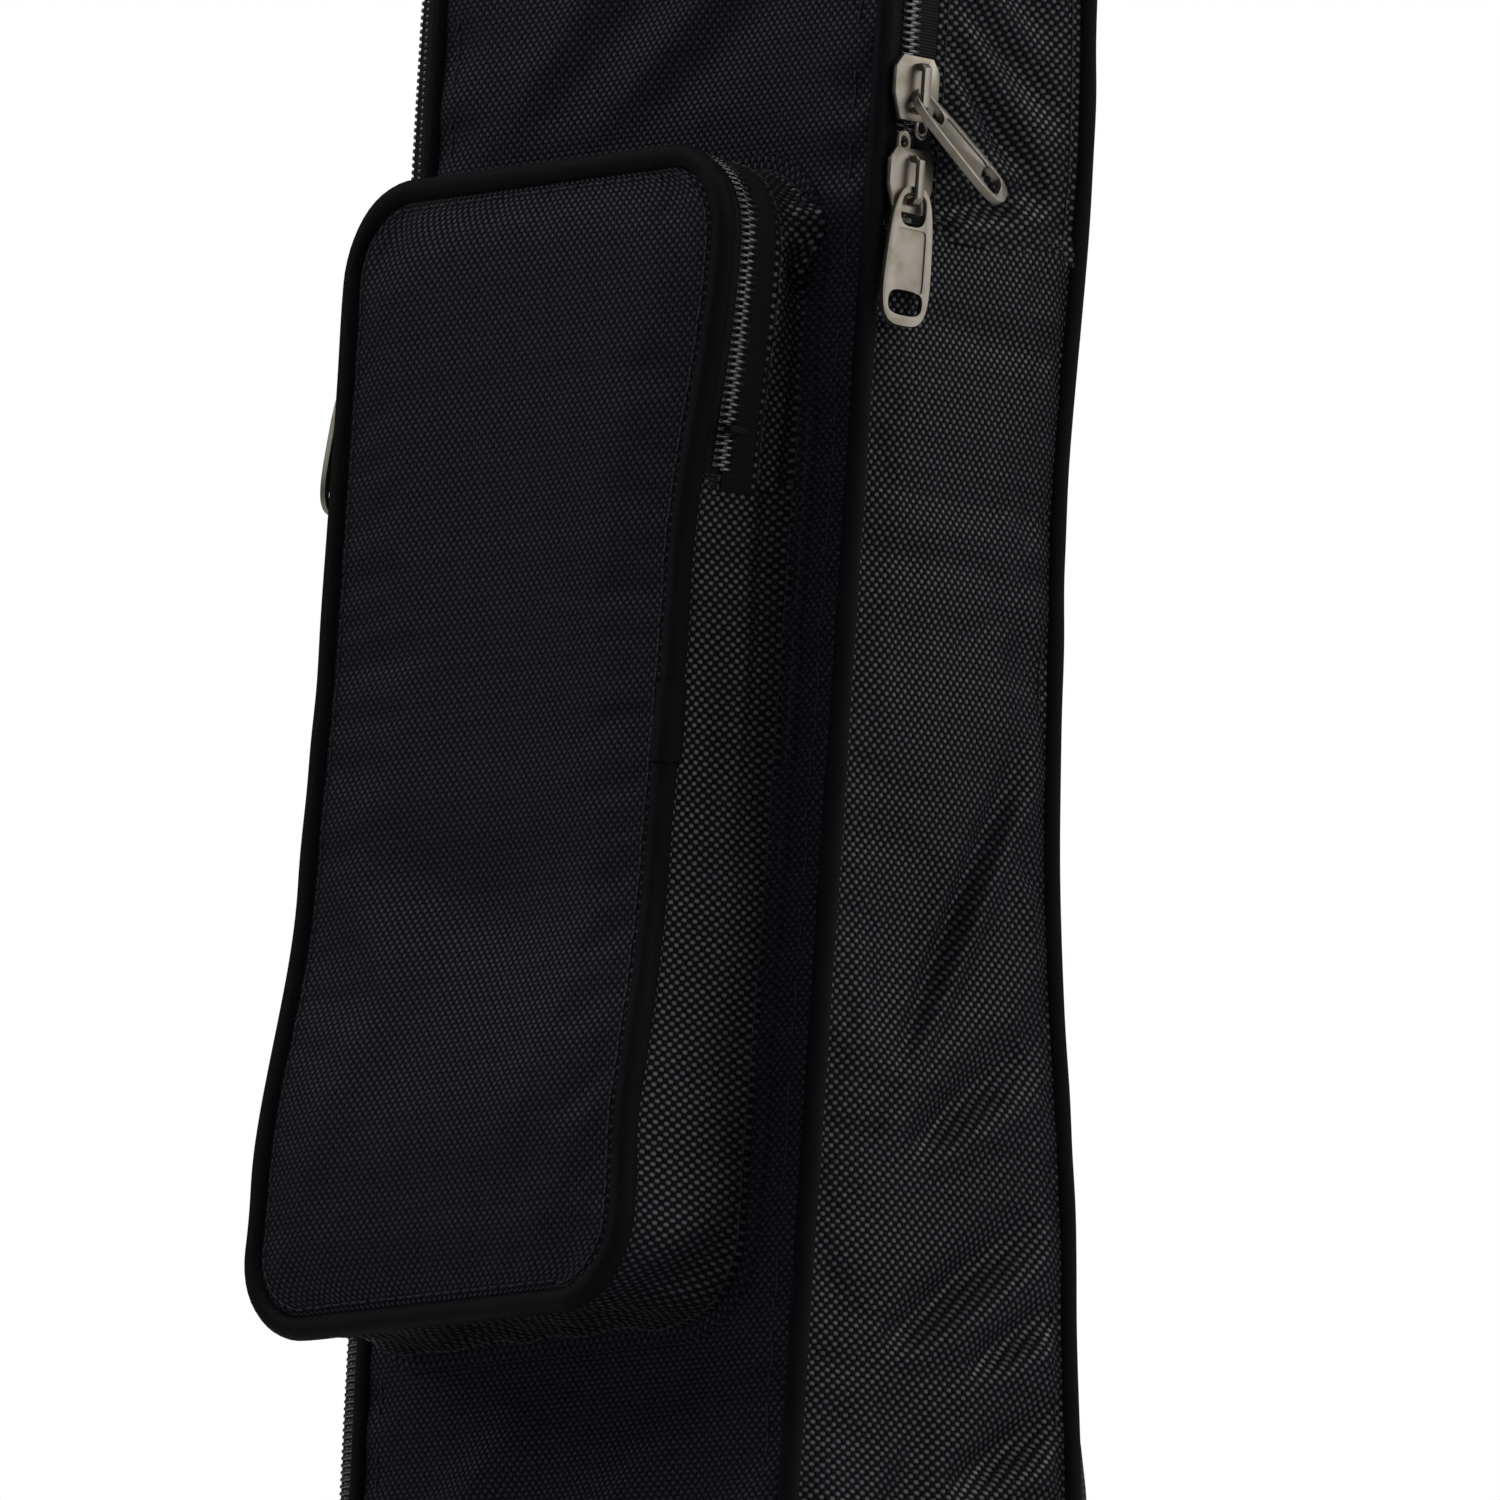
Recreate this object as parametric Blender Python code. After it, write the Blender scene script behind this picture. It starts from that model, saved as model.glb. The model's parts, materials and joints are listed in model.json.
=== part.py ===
"""Drum stick bag: a tapered cloth case whose piped cover opens like a book, with a boxed front pocket.

Metres, +Z up. The bag stands on its base. The front faces -Y and the cover is hinged along the right (+X) edge.
The origin is on the underside of the base, at the middle of its width and depth.
"""

import math

import bmesh
import bpy
from mathutils import Matrix, Vector

# --- the body -----------------------------------------------------------------------------------------------
HEIGHT = 0.460
WIDTH = 0.140
DEPTH_BASE = 0.076
DEPTH_TOP = 0.040
CORNER_RADIUS = 0.022
CORNER_STEPS = 6
SOLE = 0.0028  # how far the stiffened base stands below the gussets' outer face

CLOTH = 0.0008
PANEL = 0.0010
FOAM = 0.0030
LINING = 0.0006
GAP = 0.0003  # left between pieces that are sewn face to face

PIPING_RADIUS = 0.0021
PIPING_INSET = 0.0006
PIPING_SIDES = 8

# --- the zips: distances behind the front piping's centre -----------------------------------------------------
TAPE = 0.0008
TAPE_MARGIN = 0.0009  # front tape between the piping and the coil
COIL_WIDTH = 0.0020
COIL_PROUD = 0.0013
COIL_GAP = 0.0010
TAPE_REAR = 0.0040
ZIP_END_Z = 0.307  # lower end of the main zip's right run
STOP_HEIGHT = 0.0016

# --- the sliders and pullers ----------------------------------------------------------------------------------
SLIDER_LENGTH = 0.0130
SLIDER_WIDTH = 0.0112
SLIDER_NOSE = 0.0076
SLIDER_PLATE = 0.0012
SLIDER_CLEARANCE = 0.0005
SLIDER_WEB = 0.0005
SLIDER_KEEL_WIDTH = 0.0060
BRIDGE_WIDTH = 0.0018
BRIDGE_LENGTH = 0.0100
BRIDGE_HEIGHT = 0.0032
BRIDGE_BAR = 0.0011
PULLER_LENGTH = 0.0280
PULLER_WIDTH = 0.0105
PULLER_THICKNESS = 0.0012
PULLER_HOLE = (0.0062, 0.0068)
PULLER_HOLE_RADIUS = 0.0018
PULLER_RIM = 0.0013
PULLER_HANG = 0.00245  # from the puller's bar to the bridge's leg that it hangs from
LOWER_SLIDER_Z = 0.3155
UPPER_SLIDER_Z = 0.3340
UPPER_PULLER_TILT = math.radians(48)
UPPER_PULLER_SLIP = 0.00175  # the tilted puller has slid this far along its own bar

# --- the front pocket -------------------------------------------------------------------------------------------
POCKET_LEFT = -0.0650
POCKET_RIGHT = 0.0545
POCKET_BOTTOM = 0.0860
POCKET_TOP = 0.3210
POCKET_DEPTH = 0.0250
POCKET_RADIUS = 0.0160
POCKET_ZIP_END_Z = 0.2620
POCKET_FOLD_Z = 0.2960
POCKET_SLIDER_Z = 0.2850
POCKET_HEM = (0.0011, 0.0016)
PIPING_JOINT_Z = 0.2040
PIPING_JOINT_LENGTH = 0.0160
PIPING_JOINT_WALL = 0.0006

# --- the sleeve for the sticks, on the back wall --------------------------------------------------------------
SLEEVE_HALF_WIDTH = 0.0560
SLEEVE_TOP = 0.2500
SLEEVE_BOTTOM = 0.0080
SLEEVE_FRONT_Y = -0.0020

# --- the shoulder strap, lying down the back ------------------------------------------------------------------
STRAP_INSET = 0.0220  # from the bag's right side to the middle of the webbing
STRAP_WIDTH = 0.0250
STRAP_THICKNESS = 0.0016
STRAP_REST = 0.0012  # clearance between the webbing and the back panel
STRAP_BOW = 0.0090  # how far the webbing stands off at its lower ring
STRAP_BOW_TOP = 0.1200
LOWER_RING_Z = 0.0500
UPPER_RING_Z = 0.4150
RING_RADIUS = 0.0015
RING_HEIGHT = 0.0120
TAB_LENGTH = 0.0300
ADJUSTER_Z = 0.3000
ADJUSTER_HEIGHT = 0.0200
ADJUSTER_WALL = 0.0018

# --- what follows from those values ---------------------------------------------------------------------------
FRONT_Y = -DEPTH_BASE / 2
PROUD = PIPING_RADIUS - PIPING_INSET
HALF = WIDTH / 2 - PROUD
BOTTOM = SOLE
TOP = HEIGHT - PROUD
PIPE_CLEAR = PIPING_RADIUS + GAP
PANEL_INSET = PIPING_INSET + PIPE_CLEAR
COIL_FRONT = PIPE_CLEAR + TAPE_MARGIN + GAP
COIL_MIDDLE = COIL_FRONT + COIL_WIDTH + COIL_GAP / 2
COIL_REAR = COIL_MIDDLE + COIL_GAP / 2
TAPE_REAR_START = COIL_REAR + COIL_WIDTH + GAP
BEHIND_ZIP = TAPE_REAR_START + TAPE_REAR + GAP
POCKET_Y = FRONT_Y - POCKET_DEPTH
STRAP_X = WIDTH / 2 - STRAP_INSET
PLATE_BOTTOM = max(COIL_PROUD, PROUD) + SLIDER_CLEARANCE
KEEL_TOP = -(COIL_PROUD + SLIDER_CLEARANCE)
FOAM_INSET = max(PANEL_INSET, SLIDER_PLATE - KEEL_TOP + PANEL)


def depth_at(z):
    """Depth of the body between the front and back piping at height z."""
    return DEPTH_BASE + (DEPTH_TOP - DEPTH_BASE) * z / HEIGHT


def back_y(z):
    """The back piping's centre at height z."""
    return FRONT_Y + depth_at(z)


# --- materials ------------------------------------------------------------------------------------------------
def material(name, colour, roughness, metallic=0.0):
    """A plain Principled material."""
    made = bpy.data.materials.new(name)
    made.use_nodes = True
    shader = made.node_tree.nodes["Principled BSDF"]
    shader.inputs["Base Color"].default_value = (*colour, 1.0)
    shader.inputs["Roughness"].default_value = roughness
    shader.inputs["Metallic"].default_value = metallic
    made.diffuse_color = (*colour, 1.0)
    return made


FINISHES = {
    "oxford_cloth": ((0.014, 0.014, 0.017), 0.62, 0.0),
    "piping_cloth": ((0.008, 0.008, 0.009), 0.85, 0.0),
    "zip_tape": ((0.007, 0.007, 0.008), 0.80, 0.0),
    "zip_coil": ((0.010, 0.010, 0.011), 0.45, 0.0),
    "lining_cloth": ((0.030, 0.030, 0.033), 0.75, 0.0),
    "foam": ((0.060, 0.060, 0.062), 0.95, 0.0),
    "webbing": ((0.009, 0.009, 0.010), 0.75, 0.0),
    "nickel": ((0.420, 0.390, 0.340), 0.32, 1.0),
    "strap_plastic": ((0.012, 0.012, 0.013), 0.45, 0.0),
}


def finish(obj, kind):
    """Gives an object its own copy of one of the finishes."""
    obj.data.materials.append(material(obj.name + "_" + kind, *FINISHES[kind]))


# --- making objects -------------------------------------------------------------------------------------------
def empty(name, place):
    """An empty that stands on a joint's axis."""
    made = bpy.data.objects.new(name, None)
    made.empty_display_size = 0.02
    made.location = place
    bpy.context.scene.collection.objects.link(made)
    return made


def hang_on(obj, parent):
    """Parents an object to an empty without moving it."""
    if parent is not None:
        obj.parent = parent
        obj.matrix_parent_inverse = Matrix.Translation(-parent.location)


def add_object(name, mesh, kind, parent=None, smooth=None):
    """Turns a bmesh into a named object with its finish; smooth is the angle under which edges are rounded."""
    bmesh.ops.recalc_face_normals(mesh, faces=mesh.faces)
    data = bpy.data.meshes.new(name)
    mesh.to_mesh(data)
    mesh.free()
    if smooth is not None:
        data.shade_smooth()
        data.set_sharp_from_angle(angle=math.radians(smooth))
    made = bpy.data.objects.new(name, data)
    bpy.context.scene.collection.objects.link(made)
    finish(made, kind)
    hang_on(made, parent)
    return made


def sweep(name, rings, kind, parent=None, closed=False, smooth=None):
    """Skins a row of rings of 3-D points; an open row gets a cap at each end."""
    mesh = bmesh.new()
    rows = [[mesh.verts.new(point) for point in ring] for ring in rings]
    pairs = list(zip(rows, rows[1:]))
    if closed:
        pairs.append((rows[-1], rows[0]))
    for near, far in pairs:
        for i in range(len(near)):
            j = (i + 1) % len(near)
            mesh.faces.new((near[i], near[j], far[j], far[i]))
    if not closed:
        mesh.faces.new(rows[0])
        mesh.faces.new(rows[-1])
    return add_object(name, mesh, kind, parent, smooth)


def cut(obj, cutter):
    """Cuts a hidden shape out of an object."""
    cutter.hide_render = True
    cutter.display_type = "WIRE"
    tool = obj.modifiers.new("cut_" + cutter.name, "BOOLEAN")
    tool.operation = "DIFFERENCE"
    tool.solver = "EXACT"
    tool.object = cutter


# --- outlines in the XZ plane: each station is (x, z, normal x, normal z) ---------------------------------------
class Outline:
    """A rectangle with round corners, walked counter-clockwise as the front shows it."""

    def __init__(self, left, right, bottom, top, radius):
        self.left = left
        self.right = right
        self.bottom = bottom
        self.top = top
        self.radius = radius

    def side(self, which, start, end):
        """A straight stretch of one side."""
        if which in ("right", "left"):
            x = self.right if which == "right" else self.left
            normal = 1 if which == "right" else -1
            return [(x, start, normal, 0), (x, end, normal, 0)]
        z = self.top if which == "top" else self.bottom
        normal = 1 if which == "top" else -1
        return [(start, z, 0, normal), (end, z, 0, normal)]

    def corner(self, first_angle, share=(0.0, 1.0)):
        """The round corner that starts at first_angle (in quarter turns from +X)."""
        cx = self.right - self.radius if first_angle in (0, 3) else self.left + self.radius
        cz = self.top - self.radius if first_angle in (0, 1) else self.bottom + self.radius
        found = []
        for step in range(CORNER_STEPS + 1):
            turn = share[0] + (share[1] - share[0]) * step / CORNER_STEPS
            angle = (first_angle + turn) * math.pi / 2
            nx, nz = math.cos(angle), math.sin(angle)
            found.append((cx + self.radius * nx, cz + self.radius * nz, nx, nz))
        return found

    def around(self, right_start, right_end, first_share=(0.0, 1.0)):
        """From right_start up the right side, all the way round, and back up to right_end."""
        stretch = []
        if right_start is not None:
            stretch += self.side("right", right_start, self.top - self.radius)
        stretch += self.corner(0, first_share)
        stretch += self.corner(1) + self.corner(2)
        if right_end is None:
            stretch += self.side("bottom", self.left + self.radius, self.right - self.radius)
        else:
            stretch += self.corner(3) + self.side("right", self.bottom + self.radius, right_end)
        return tidy(stretch)

    def loop(self):
        """The whole outline, closed."""
        return tidy(self.corner(0) + self.corner(1) + self.corner(2) + self.corner(3))


def tidy(stations):
    """Drops stations that repeat the one before."""
    kept = []
    for station in stations:
        if not kept or math.dist(station[:2], kept[-1][:2]) > 1e-6:
            kept.append(station)
    return kept


def place(station, out, y):
    """The 3-D point at a distance out from the outline."""
    x, z, nx, nz = station
    return (x + nx * out, y, z + nz * out)


def strip(name, stations, out, span, kind, parent=None, closed=False):
    """A flat band that follows an outline; span gives its front and rear y at a height."""
    rings = []
    for station in stations:
        front, rear = span(station[1] + station[3] * out[1])
        rings.append([place(station, o, y) for o, y in
                      ((out[0], front), (out[1], front), (out[1], rear), (out[0], rear))])
    return sweep(name, rings, kind, parent, closed, smooth=40)


def coil(name, stations, front, kind, parent=None):
    """One side of a zip's coil: a half-round bead."""
    rings = []
    for station in stations:
        ring = []
        for step in range(8):
            angle = 2 * math.pi * (step + 0.5) / 8
            y = front + COIL_WIDTH / 2 * (1 + math.cos(angle) / math.cos(math.pi / 8))
            ring.append(place(station, COIL_PROUD * math.sin(angle), y))
        rings.append(ring)
    return sweep(name, rings, kind, parent, smooth=60)


def piping(name, stations, y_at, kind, parent=None, closed=False, radius=PIPING_RADIUS):
    """A round cord in its cloth sleeve."""
    rings = []
    for station in stations:
        ring = []
        for step in range(PIPING_SIDES):
            angle = 2 * math.pi * step / PIPING_SIDES
            out = -PIPING_INSET + radius * math.cos(angle)
            ring.append(place(station, out, y_at(station[1]) + radius * math.sin(angle)))
        rings.append(ring)
    return sweep(name, rings, kind, parent, closed, smooth=60)


def slab(name, stations, inset, near, far, kind, parent=None):
    """A flat panel inside an outline, between two surfaces y = near(z) and y = far(z)."""
    rings = []
    for surface in (near, far):
        ring = []
        for station in stations:
            x, _, z = place(station, -inset, 0)
            ring.append((x, surface(z), z))
        rings.append(ring)
    return sweep(name, rings, kind, parent)


def level(value):
    """A surface of constant y."""
    return lambda z: value


def behind(offset):
    """A surface parallel to the back panel."""
    return lambda z: back_y(z) + offset


# --- the body -------------------------------------------------------------------------------------------------
BODY = Outline(-HALF, HALF, BOTTOM, TOP, CORNER_RADIUS)
RUN_TOP = TOP - CORNER_RADIUS
FOOT = BOTTOM + CORNER_RADIUS


def main_zip_span(z):
    """Gusset cloth between the zip's rear tape and the back piping."""
    return FRONT_Y + BEHIND_ZIP, back_y(z) - PIPE_CLEAR


def full_span(z):
    """Gusset cloth between the front and back piping."""
    return FRONT_Y + PIPE_CLEAR, back_y(z) - PIPE_CLEAR


def make_back():
    """Back panel, its foam and lining, and the piping round it."""
    loop = BODY.loop()
    half = PANEL / 2
    slab("back_panel", loop, PANEL_INSET, behind(-half), behind(half), "oxford_cloth")
    foam_face = -half - GAP
    slab("back_foam", loop, PANEL_INSET, behind(foam_face - FOAM), behind(foam_face), "foam")
    lining_face = foam_face - FOAM - GAP
    slab("back_lining", loop, PANEL_INSET, behind(lining_face - LINING), behind(lining_face), "lining_cloth")
    piping("back_piping", loop, back_y, "piping_cloth", closed=True)


def make_gussets():
    """The cloth walls between the front and the back, and the stiffened base."""
    out = (-CLOTH, 0)
    right_lower = tidy(BODY.corner(3) + BODY.side("right", FOOT, ZIP_END_Z - GAP))
    strip("gusset_right_lower", right_lower, out, full_span, "oxford_cloth")
    right_upper = BODY.side("right", ZIP_END_Z, RUN_TOP - GAP)
    strip("gusset_right_upper", right_upper, out, main_zip_span, "oxford_cloth")
    over = tidy(BODY.corner(0) + BODY.corner(1))
    strip("gusset_top", over, out, main_zip_span, "oxford_cloth")
    left = tidy(BODY.side("left", RUN_TOP - GAP, FOOT) + BODY.corner(2, (0.0, 1.0)))
    strip("gusset_left", left, out, main_zip_span, "oxford_cloth")
    base = BODY.side("bottom", -HALF + CORNER_RADIUS + GAP, HALF - CORNER_RADIUS - GAP)
    strip("base_panel", base, (-CLOTH, SOLE), main_zip_span, "oxford_cloth")


def make_main_zip(cover):
    """Tapes and coils: the rear side and the right run stay on the body, the rest opens with the cover."""
    tape = (-TAPE / 2, TAPE / 2)
    rear = BODY.around(ZIP_END_Z + STOP_HEIGHT + GAP, None)
    tape_rear_y = FRONT_Y + TAPE_REAR_START
    strip("zip_tape_rear", rear, tape, lambda z: (tape_rear_y, tape_rear_y + TAPE_REAR), "zip_tape")
    coil("zip_coil_rear", rear, FRONT_Y + COIL_REAR, "zip_coil")
    margin = (FRONT_Y + PIPE_CLEAR, FRONT_Y + PIPE_CLEAR + TAPE_MARGIN)
    right_run = BODY.side("right", ZIP_END_Z + STOP_HEIGHT + GAP, RUN_TOP - GAP)
    strip("zip_tape_front_right", right_run, tape, lambda z: margin, "zip_tape")
    coil("zip_coil_front_right", right_run, FRONT_Y + COIL_FRONT, "zip_coil")
    opening = BODY.around(None, None, first_share=(0.1, 1.0))
    strip("zip_tape_front", opening, tape, lambda z: margin, "zip_tape", cover)
    coil("zip_coil_front", opening, FRONT_Y + COIL_FRONT, "zip_coil", cover)
    stop_y = (FRONT_Y + COIL_FRONT, FRONT_Y + COIL_REAR + COIL_WIDTH)
    stop = BODY.side("right", ZIP_END_Z + GAP, ZIP_END_Z + STOP_HEIGHT)
    strip("zip_stop_right", stop, (-COIL_PROUD, COIL_PROUD), lambda z: stop_y, "nickel")


def make_sleeve():
    """A sleeve of lining cloth sewn to the back wall, with a seam down its middle: two places for sticks."""
    half = SLEEVE_HALF_WIDTH
    wall = PANEL
    rings = []
    lining_front = -PANEL / 2 - 3 * GAP - FOAM - LINING
    for z in (SLEEVE_BOTTOM, SLEEVE_TOP):
        front = SLEEVE_FRONT_Y
        rear = back_y(z) + lining_front
        inner = front + wall
        plan = [(-half, front), (half, front), (half, rear), (half - wall, rear), (half - wall, inner),
                (wall / 2, inner), (wall / 2, rear), (-wall / 2, rear), (-wall / 2, inner),
                (-half + wall, inner), (-half + wall, rear), (-half, rear)]
        rings.append([(x, y, z) for x, y in plan])
    sweep("stick_sleeve", rings, "lining_cloth")


# --- the cover and its pocket -----------------------------------------------------------------------------------
POCKET = Outline(POCKET_LEFT + PROUD, POCKET_RIGHT - PROUD, POCKET_BOTTOM + PROUD, POCKET_TOP - PROUD, POCKET_RADIUS)


def make_cover(cover):
    """The front panel with its foam, lining and piping."""
    loop = BODY.loop()
    half = PANEL / 2
    slab("cover_panel", loop, PANEL_INSET, level(FRONT_Y - half), level(FRONT_Y + half), "oxford_cloth", cover)
    foam_face = FRONT_Y + half + GAP
    slab("cover_foam", loop, FOAM_INSET, level(foam_face), level(foam_face + FOAM), "foam", cover)
    lining_face = foam_face + FOAM + GAP
    slab("cover_lining", loop, FOAM_INSET, level(lining_face), level(lining_face + LINING), "lining_cloth", cover)
    piping("cover_piping", loop, level(FRONT_Y), "piping_cloth", cover, closed=True)


def pocket_below(z):
    """The pocket's outline below height z: down the left side, along the bottom and up the right side."""
    left = POCKET.side("left", z, POCKET.bottom + POCKET_RADIUS)
    right = POCKET.side("right", POCKET.bottom + POCKET_RADIUS, z)
    return tidy(left + POCKET.corner(2) + POCKET.corner(3) + right)


def pocket_above(z):
    """The pocket's outline above height z: up the right side, over the top and down the left side."""
    right = POCKET.side("right", z, POCKET.top - POCKET_RADIUS)
    left = POCKET.side("left", POCKET.top - POCKET_RADIUS, z)
    return tidy(right + POCKET.corner(0) + POCKET.corner(1) + left)


def make_pocket(cover, flap):
    """A boxed pocket with a zip over its top; the flap is the part of its front above the fold."""
    seat = FRONT_Y - PANEL / 2 - GAP
    cloth = (-CLOTH, 0)
    tape = (-TAPE / 2, TAPE / 2)
    lower = pocket_below(POCKET_ZIP_END_Z - GAP)
    upper = pocket_above(POCKET_ZIP_END_Z + GAP)
    strip("pocket_gusset_lower", lower, cloth, lambda z: (POCKET_Y + PIPE_CLEAR, seat), "oxford_cloth", cover)
    strip("pocket_gusset_upper", upper, cloth, lambda z: (POCKET_Y + BEHIND_ZIP, seat), "oxford_cloth", cover)
    hem_out = (GAP, GAP + POCKET_HEM[0])
    hem_y = (seat - POCKET_HEM[1], seat)
    strip("pocket_base_hem", POCKET.loop(), hem_out, lambda z: hem_y, "oxford_cloth", cover, closed=True)

    zip_run = pocket_above(POCKET_ZIP_END_Z + STOP_HEIGHT + 2 * GAP)
    rear_y = POCKET_Y + TAPE_REAR_START
    strip("pocket_tape_rear", zip_run, tape, lambda z: (rear_y, rear_y + TAPE_REAR), "zip_tape", cover)
    coil("pocket_coil_rear", zip_run, POCKET_Y + COIL_REAR, "zip_coil", cover)

    margin = (POCKET_Y + PIPE_CLEAR, POCKET_Y + PIPE_CLEAR + TAPE_MARGIN)
    coil_y = POCKET_Y + COIL_FRONT
    stop_y = (coil_y, POCKET_Y + COIL_REAR + COIL_WIDTH)
    for which in ("right", "left"):
        stub = POCKET.side(which, POCKET_ZIP_END_Z + STOP_HEIGHT + 2 * GAP, POCKET_FOLD_Z - GAP)
        strip("pocket_tape_front_" + which, stub, tape, lambda z: margin, "zip_tape", cover)
        coil("pocket_coil_front_" + which, stub, coil_y, "zip_coil", cover)
        stop = POCKET.side(which, POCKET_ZIP_END_Z + GAP, POCKET_ZIP_END_Z + GAP + STOP_HEIGHT)
        bar = (-COIL_PROUD, COIL_PROUD)
        strip("pocket_zip_stop_" + which, stop, bar, lambda z: stop_y, "zip_tape", cover)

    half = PANEL / 2
    for name, stations, parent in (
        ("lower", pocket_below(POCKET_FOLD_Z - GAP), cover),
        ("upper", pocket_above(POCKET_FOLD_Z + GAP), flap),
    ):
        faces = (level(POCKET_Y - half), level(POCKET_Y + half))
        slab("pocket_front_" + name, stations, PANEL_INSET, *faces, "oxford_cloth", parent)
        piping("pocket_piping_" + name, stations, level(POCKET_Y), "piping_cloth", parent)

    flap_run = pocket_above(POCKET_FOLD_Z + GAP)
    strip("pocket_tape_front", flap_run, tape, lambda z: margin, "zip_tape", flap)
    coil("pocket_coil_front", flap_run, coil_y, "zip_coil", flap)
    make_piping_joint(cover)


def make_piping_joint(cover):
    """A short wrapped sleeve where the ends of the pocket's piping meet, split behind for the seam."""
    inner = PIPING_RADIUS + GAP
    outer = inner + PIPING_JOINT_WALL
    x = POCKET.right - PIPING_INSET
    start, end = math.radians(-150), math.radians(60)
    steps = 10
    angles = [start + (end - start) * i / steps for i in range(steps + 1)]
    plan = [(outer, a) for a in angles] + [(inner, a) for a in reversed(angles)]
    rings = []
    for z in (PIPING_JOINT_Z - PIPING_JOINT_LENGTH / 2, PIPING_JOINT_Z + PIPING_JOINT_LENGTH / 2):
        rings.append([(x + r * math.cos(a), POCKET_Y + r * math.sin(a), z) for r, a in plan])
    sweep("pocket_piping_joint", rings, "piping_cloth", cover, smooth=60)


# --- sliders and pullers ------------------------------------------------------------------------------------------
def prism(mesh, outline, axis, low, high):
    """Adds an extruded outline to a mesh; axis is the index of the direction that it runs along."""
    rows = []
    for value in (low, high):
        row = []
        for point in outline:
            spot = list(point)
            spot.insert(axis, value)
            row.append(mesh.verts.new(spot))
        rows.append(row)
    count = len(outline)
    for i in range(count):
        j = (i + 1) % count
        mesh.faces.new((rows[0][i], rows[0][j], rows[1][j], rows[1][i]))
    mesh.faces.new(rows[0])
    mesh.faces.new(rows[1])


def turn_to(obj, side, tilt=0.0):
    """Faces a slider or puller, drawn for the right side, towards +X or -X, and tilts it in that face."""
    obj.rotation_euler = (tilt, 0.0, 0.0) if side > 0 else (-tilt, 0.0, math.pi)


def make_slider(name, side, origin):
    """A cast zip slider: a shield plate over the coil, a web between its halves, a keel, and a bridge on top."""
    half = SLIDER_LENGTH / 2
    mesh = bmesh.new()
    wide, nose = SLIDER_WIDTH / 2, SLIDER_NOSE / 2
    rings = []
    for z, width in ((-half, nose), (-half * 0.2, wide), (half * 0.6, wide), (half, nose)):
        web = SLIDER_WEB / 2
        keel = SLIDER_KEEL_WIDTH / 2 * width / wide
        top, low = PLATE_BOTTOM + SLIDER_PLATE, KEEL_TOP - SLIDER_PLATE
        plan = [(top, -width), (top, width), (PLATE_BOTTOM, width), (PLATE_BOTTOM, web), (KEEL_TOP, web),
                (KEEL_TOP, keel), (low, keel), (low, -keel), (KEEL_TOP, -keel), (KEEL_TOP, -web),
                (PLATE_BOTTOM, -web), (PLATE_BOTTOM, -width)]
        rings.append([mesh.verts.new((x, y, z)) for x, y in plan])
    for near, far in zip(rings, rings[1:]):
        for i in range(len(near)):
            j = (i + 1) % len(near)
            mesh.faces.new((near[i], near[j], far[j], far[i]))
    mesh.faces.new(rings[0])
    mesh.faces.new(rings[-1])
    body = add_object(name, mesh, "nickel")

    foot, rise = BRIDGE_LENGTH / 2, BRIDGE_HEIGHT
    base = PLATE_BOTTOM + SLIDER_PLATE
    sunk = base - SLIDER_PLATE / 2
    arch = [(sunk, -foot), (base + rise - BRIDGE_BAR, -foot), (base + rise, -foot + BRIDGE_BAR),
            (base + rise, foot - BRIDGE_BAR), (base + rise - BRIDGE_BAR, foot), (sunk, foot),
            (sunk, foot - BRIDGE_BAR), (base + rise - BRIDGE_BAR, foot - 1.5 * BRIDGE_BAR),
            (base + rise - BRIDGE_BAR, -foot + 1.5 * BRIDGE_BAR), (sunk, -foot + BRIDGE_BAR)]
    mesh = bmesh.new()
    prism(mesh, arch, 1, -BRIDGE_WIDTH / 2, BRIDGE_WIDTH / 2)
    bridge = add_object(name + "_bridge", mesh, "nickel")
    bridge.hide_render = True
    bridge.display_type = "WIRE"
    joined = body.modifiers.new("bridge", "BOOLEAN")
    joined.operation = "UNION"
    joined.solver = "EXACT"
    joined.object = bridge
    for obj in (body, bridge):
        obj.location = origin
        turn_to(obj, side)
    return body


PULLER_OUT = PLATE_BOTTOM + SLIDER_PLATE + (BRIDGE_HEIGHT - BRIDGE_BAR) / 2


def make_puller(name, side, slider, tilt=0.0, slip=0.0):
    """A flat puller hanging from its slider's bridge; its origin is on the bar that it swings about."""
    leg = (BRIDGE_BAR - BRIDGE_LENGTH) / 2
    x, y, z = slider
    sin, cos = math.sin(tilt), math.cos(tilt)
    origin = (x + side * PULLER_OUT, y - PULLER_HANG * sin + slip * cos, z + leg + PULLER_HANG * cos + slip * sin)
    mesh = bmesh.new()
    half, thin = PULLER_WIDTH / 2, PULLER_THICKNESS / 2
    above = PULLER_RIM / 2
    bottom = above - PULLER_LENGTH
    chamfer = PULLER_WIDTH * 0.22
    outline = [(-half + chamfer, above), (half - chamfer, above), (half, above - 2 * chamfer),
               (half, bottom + chamfer), (half - chamfer, bottom), (-half + chamfer, bottom),
               (-half, bottom + chamfer), (-half, above - 2 * chamfer)]
    prism(mesh, outline, 0, -thin, thin)
    body = add_object(name, mesh, "nickel")

    mesh = bmesh.new()
    half_hole, long = PULLER_HOLE[0] / 2, PULLER_HOLE[1] / 2
    middle = above - PULLER_RIM - long
    rim = Outline(-half_hole, half_hole, middle - long, middle + long, PULLER_HOLE_RADIUS)
    prism(mesh, [station[:2] for station in rim.loop()], 0, -2 * PULLER_THICKNESS, 2 * PULLER_THICKNESS)
    hole = add_object(name + "_hole", mesh, "nickel")
    cut(body, hole)
    for obj in (body, hole):
        obj.location = origin
        turn_to(obj, side, tilt)
    return body


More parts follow.
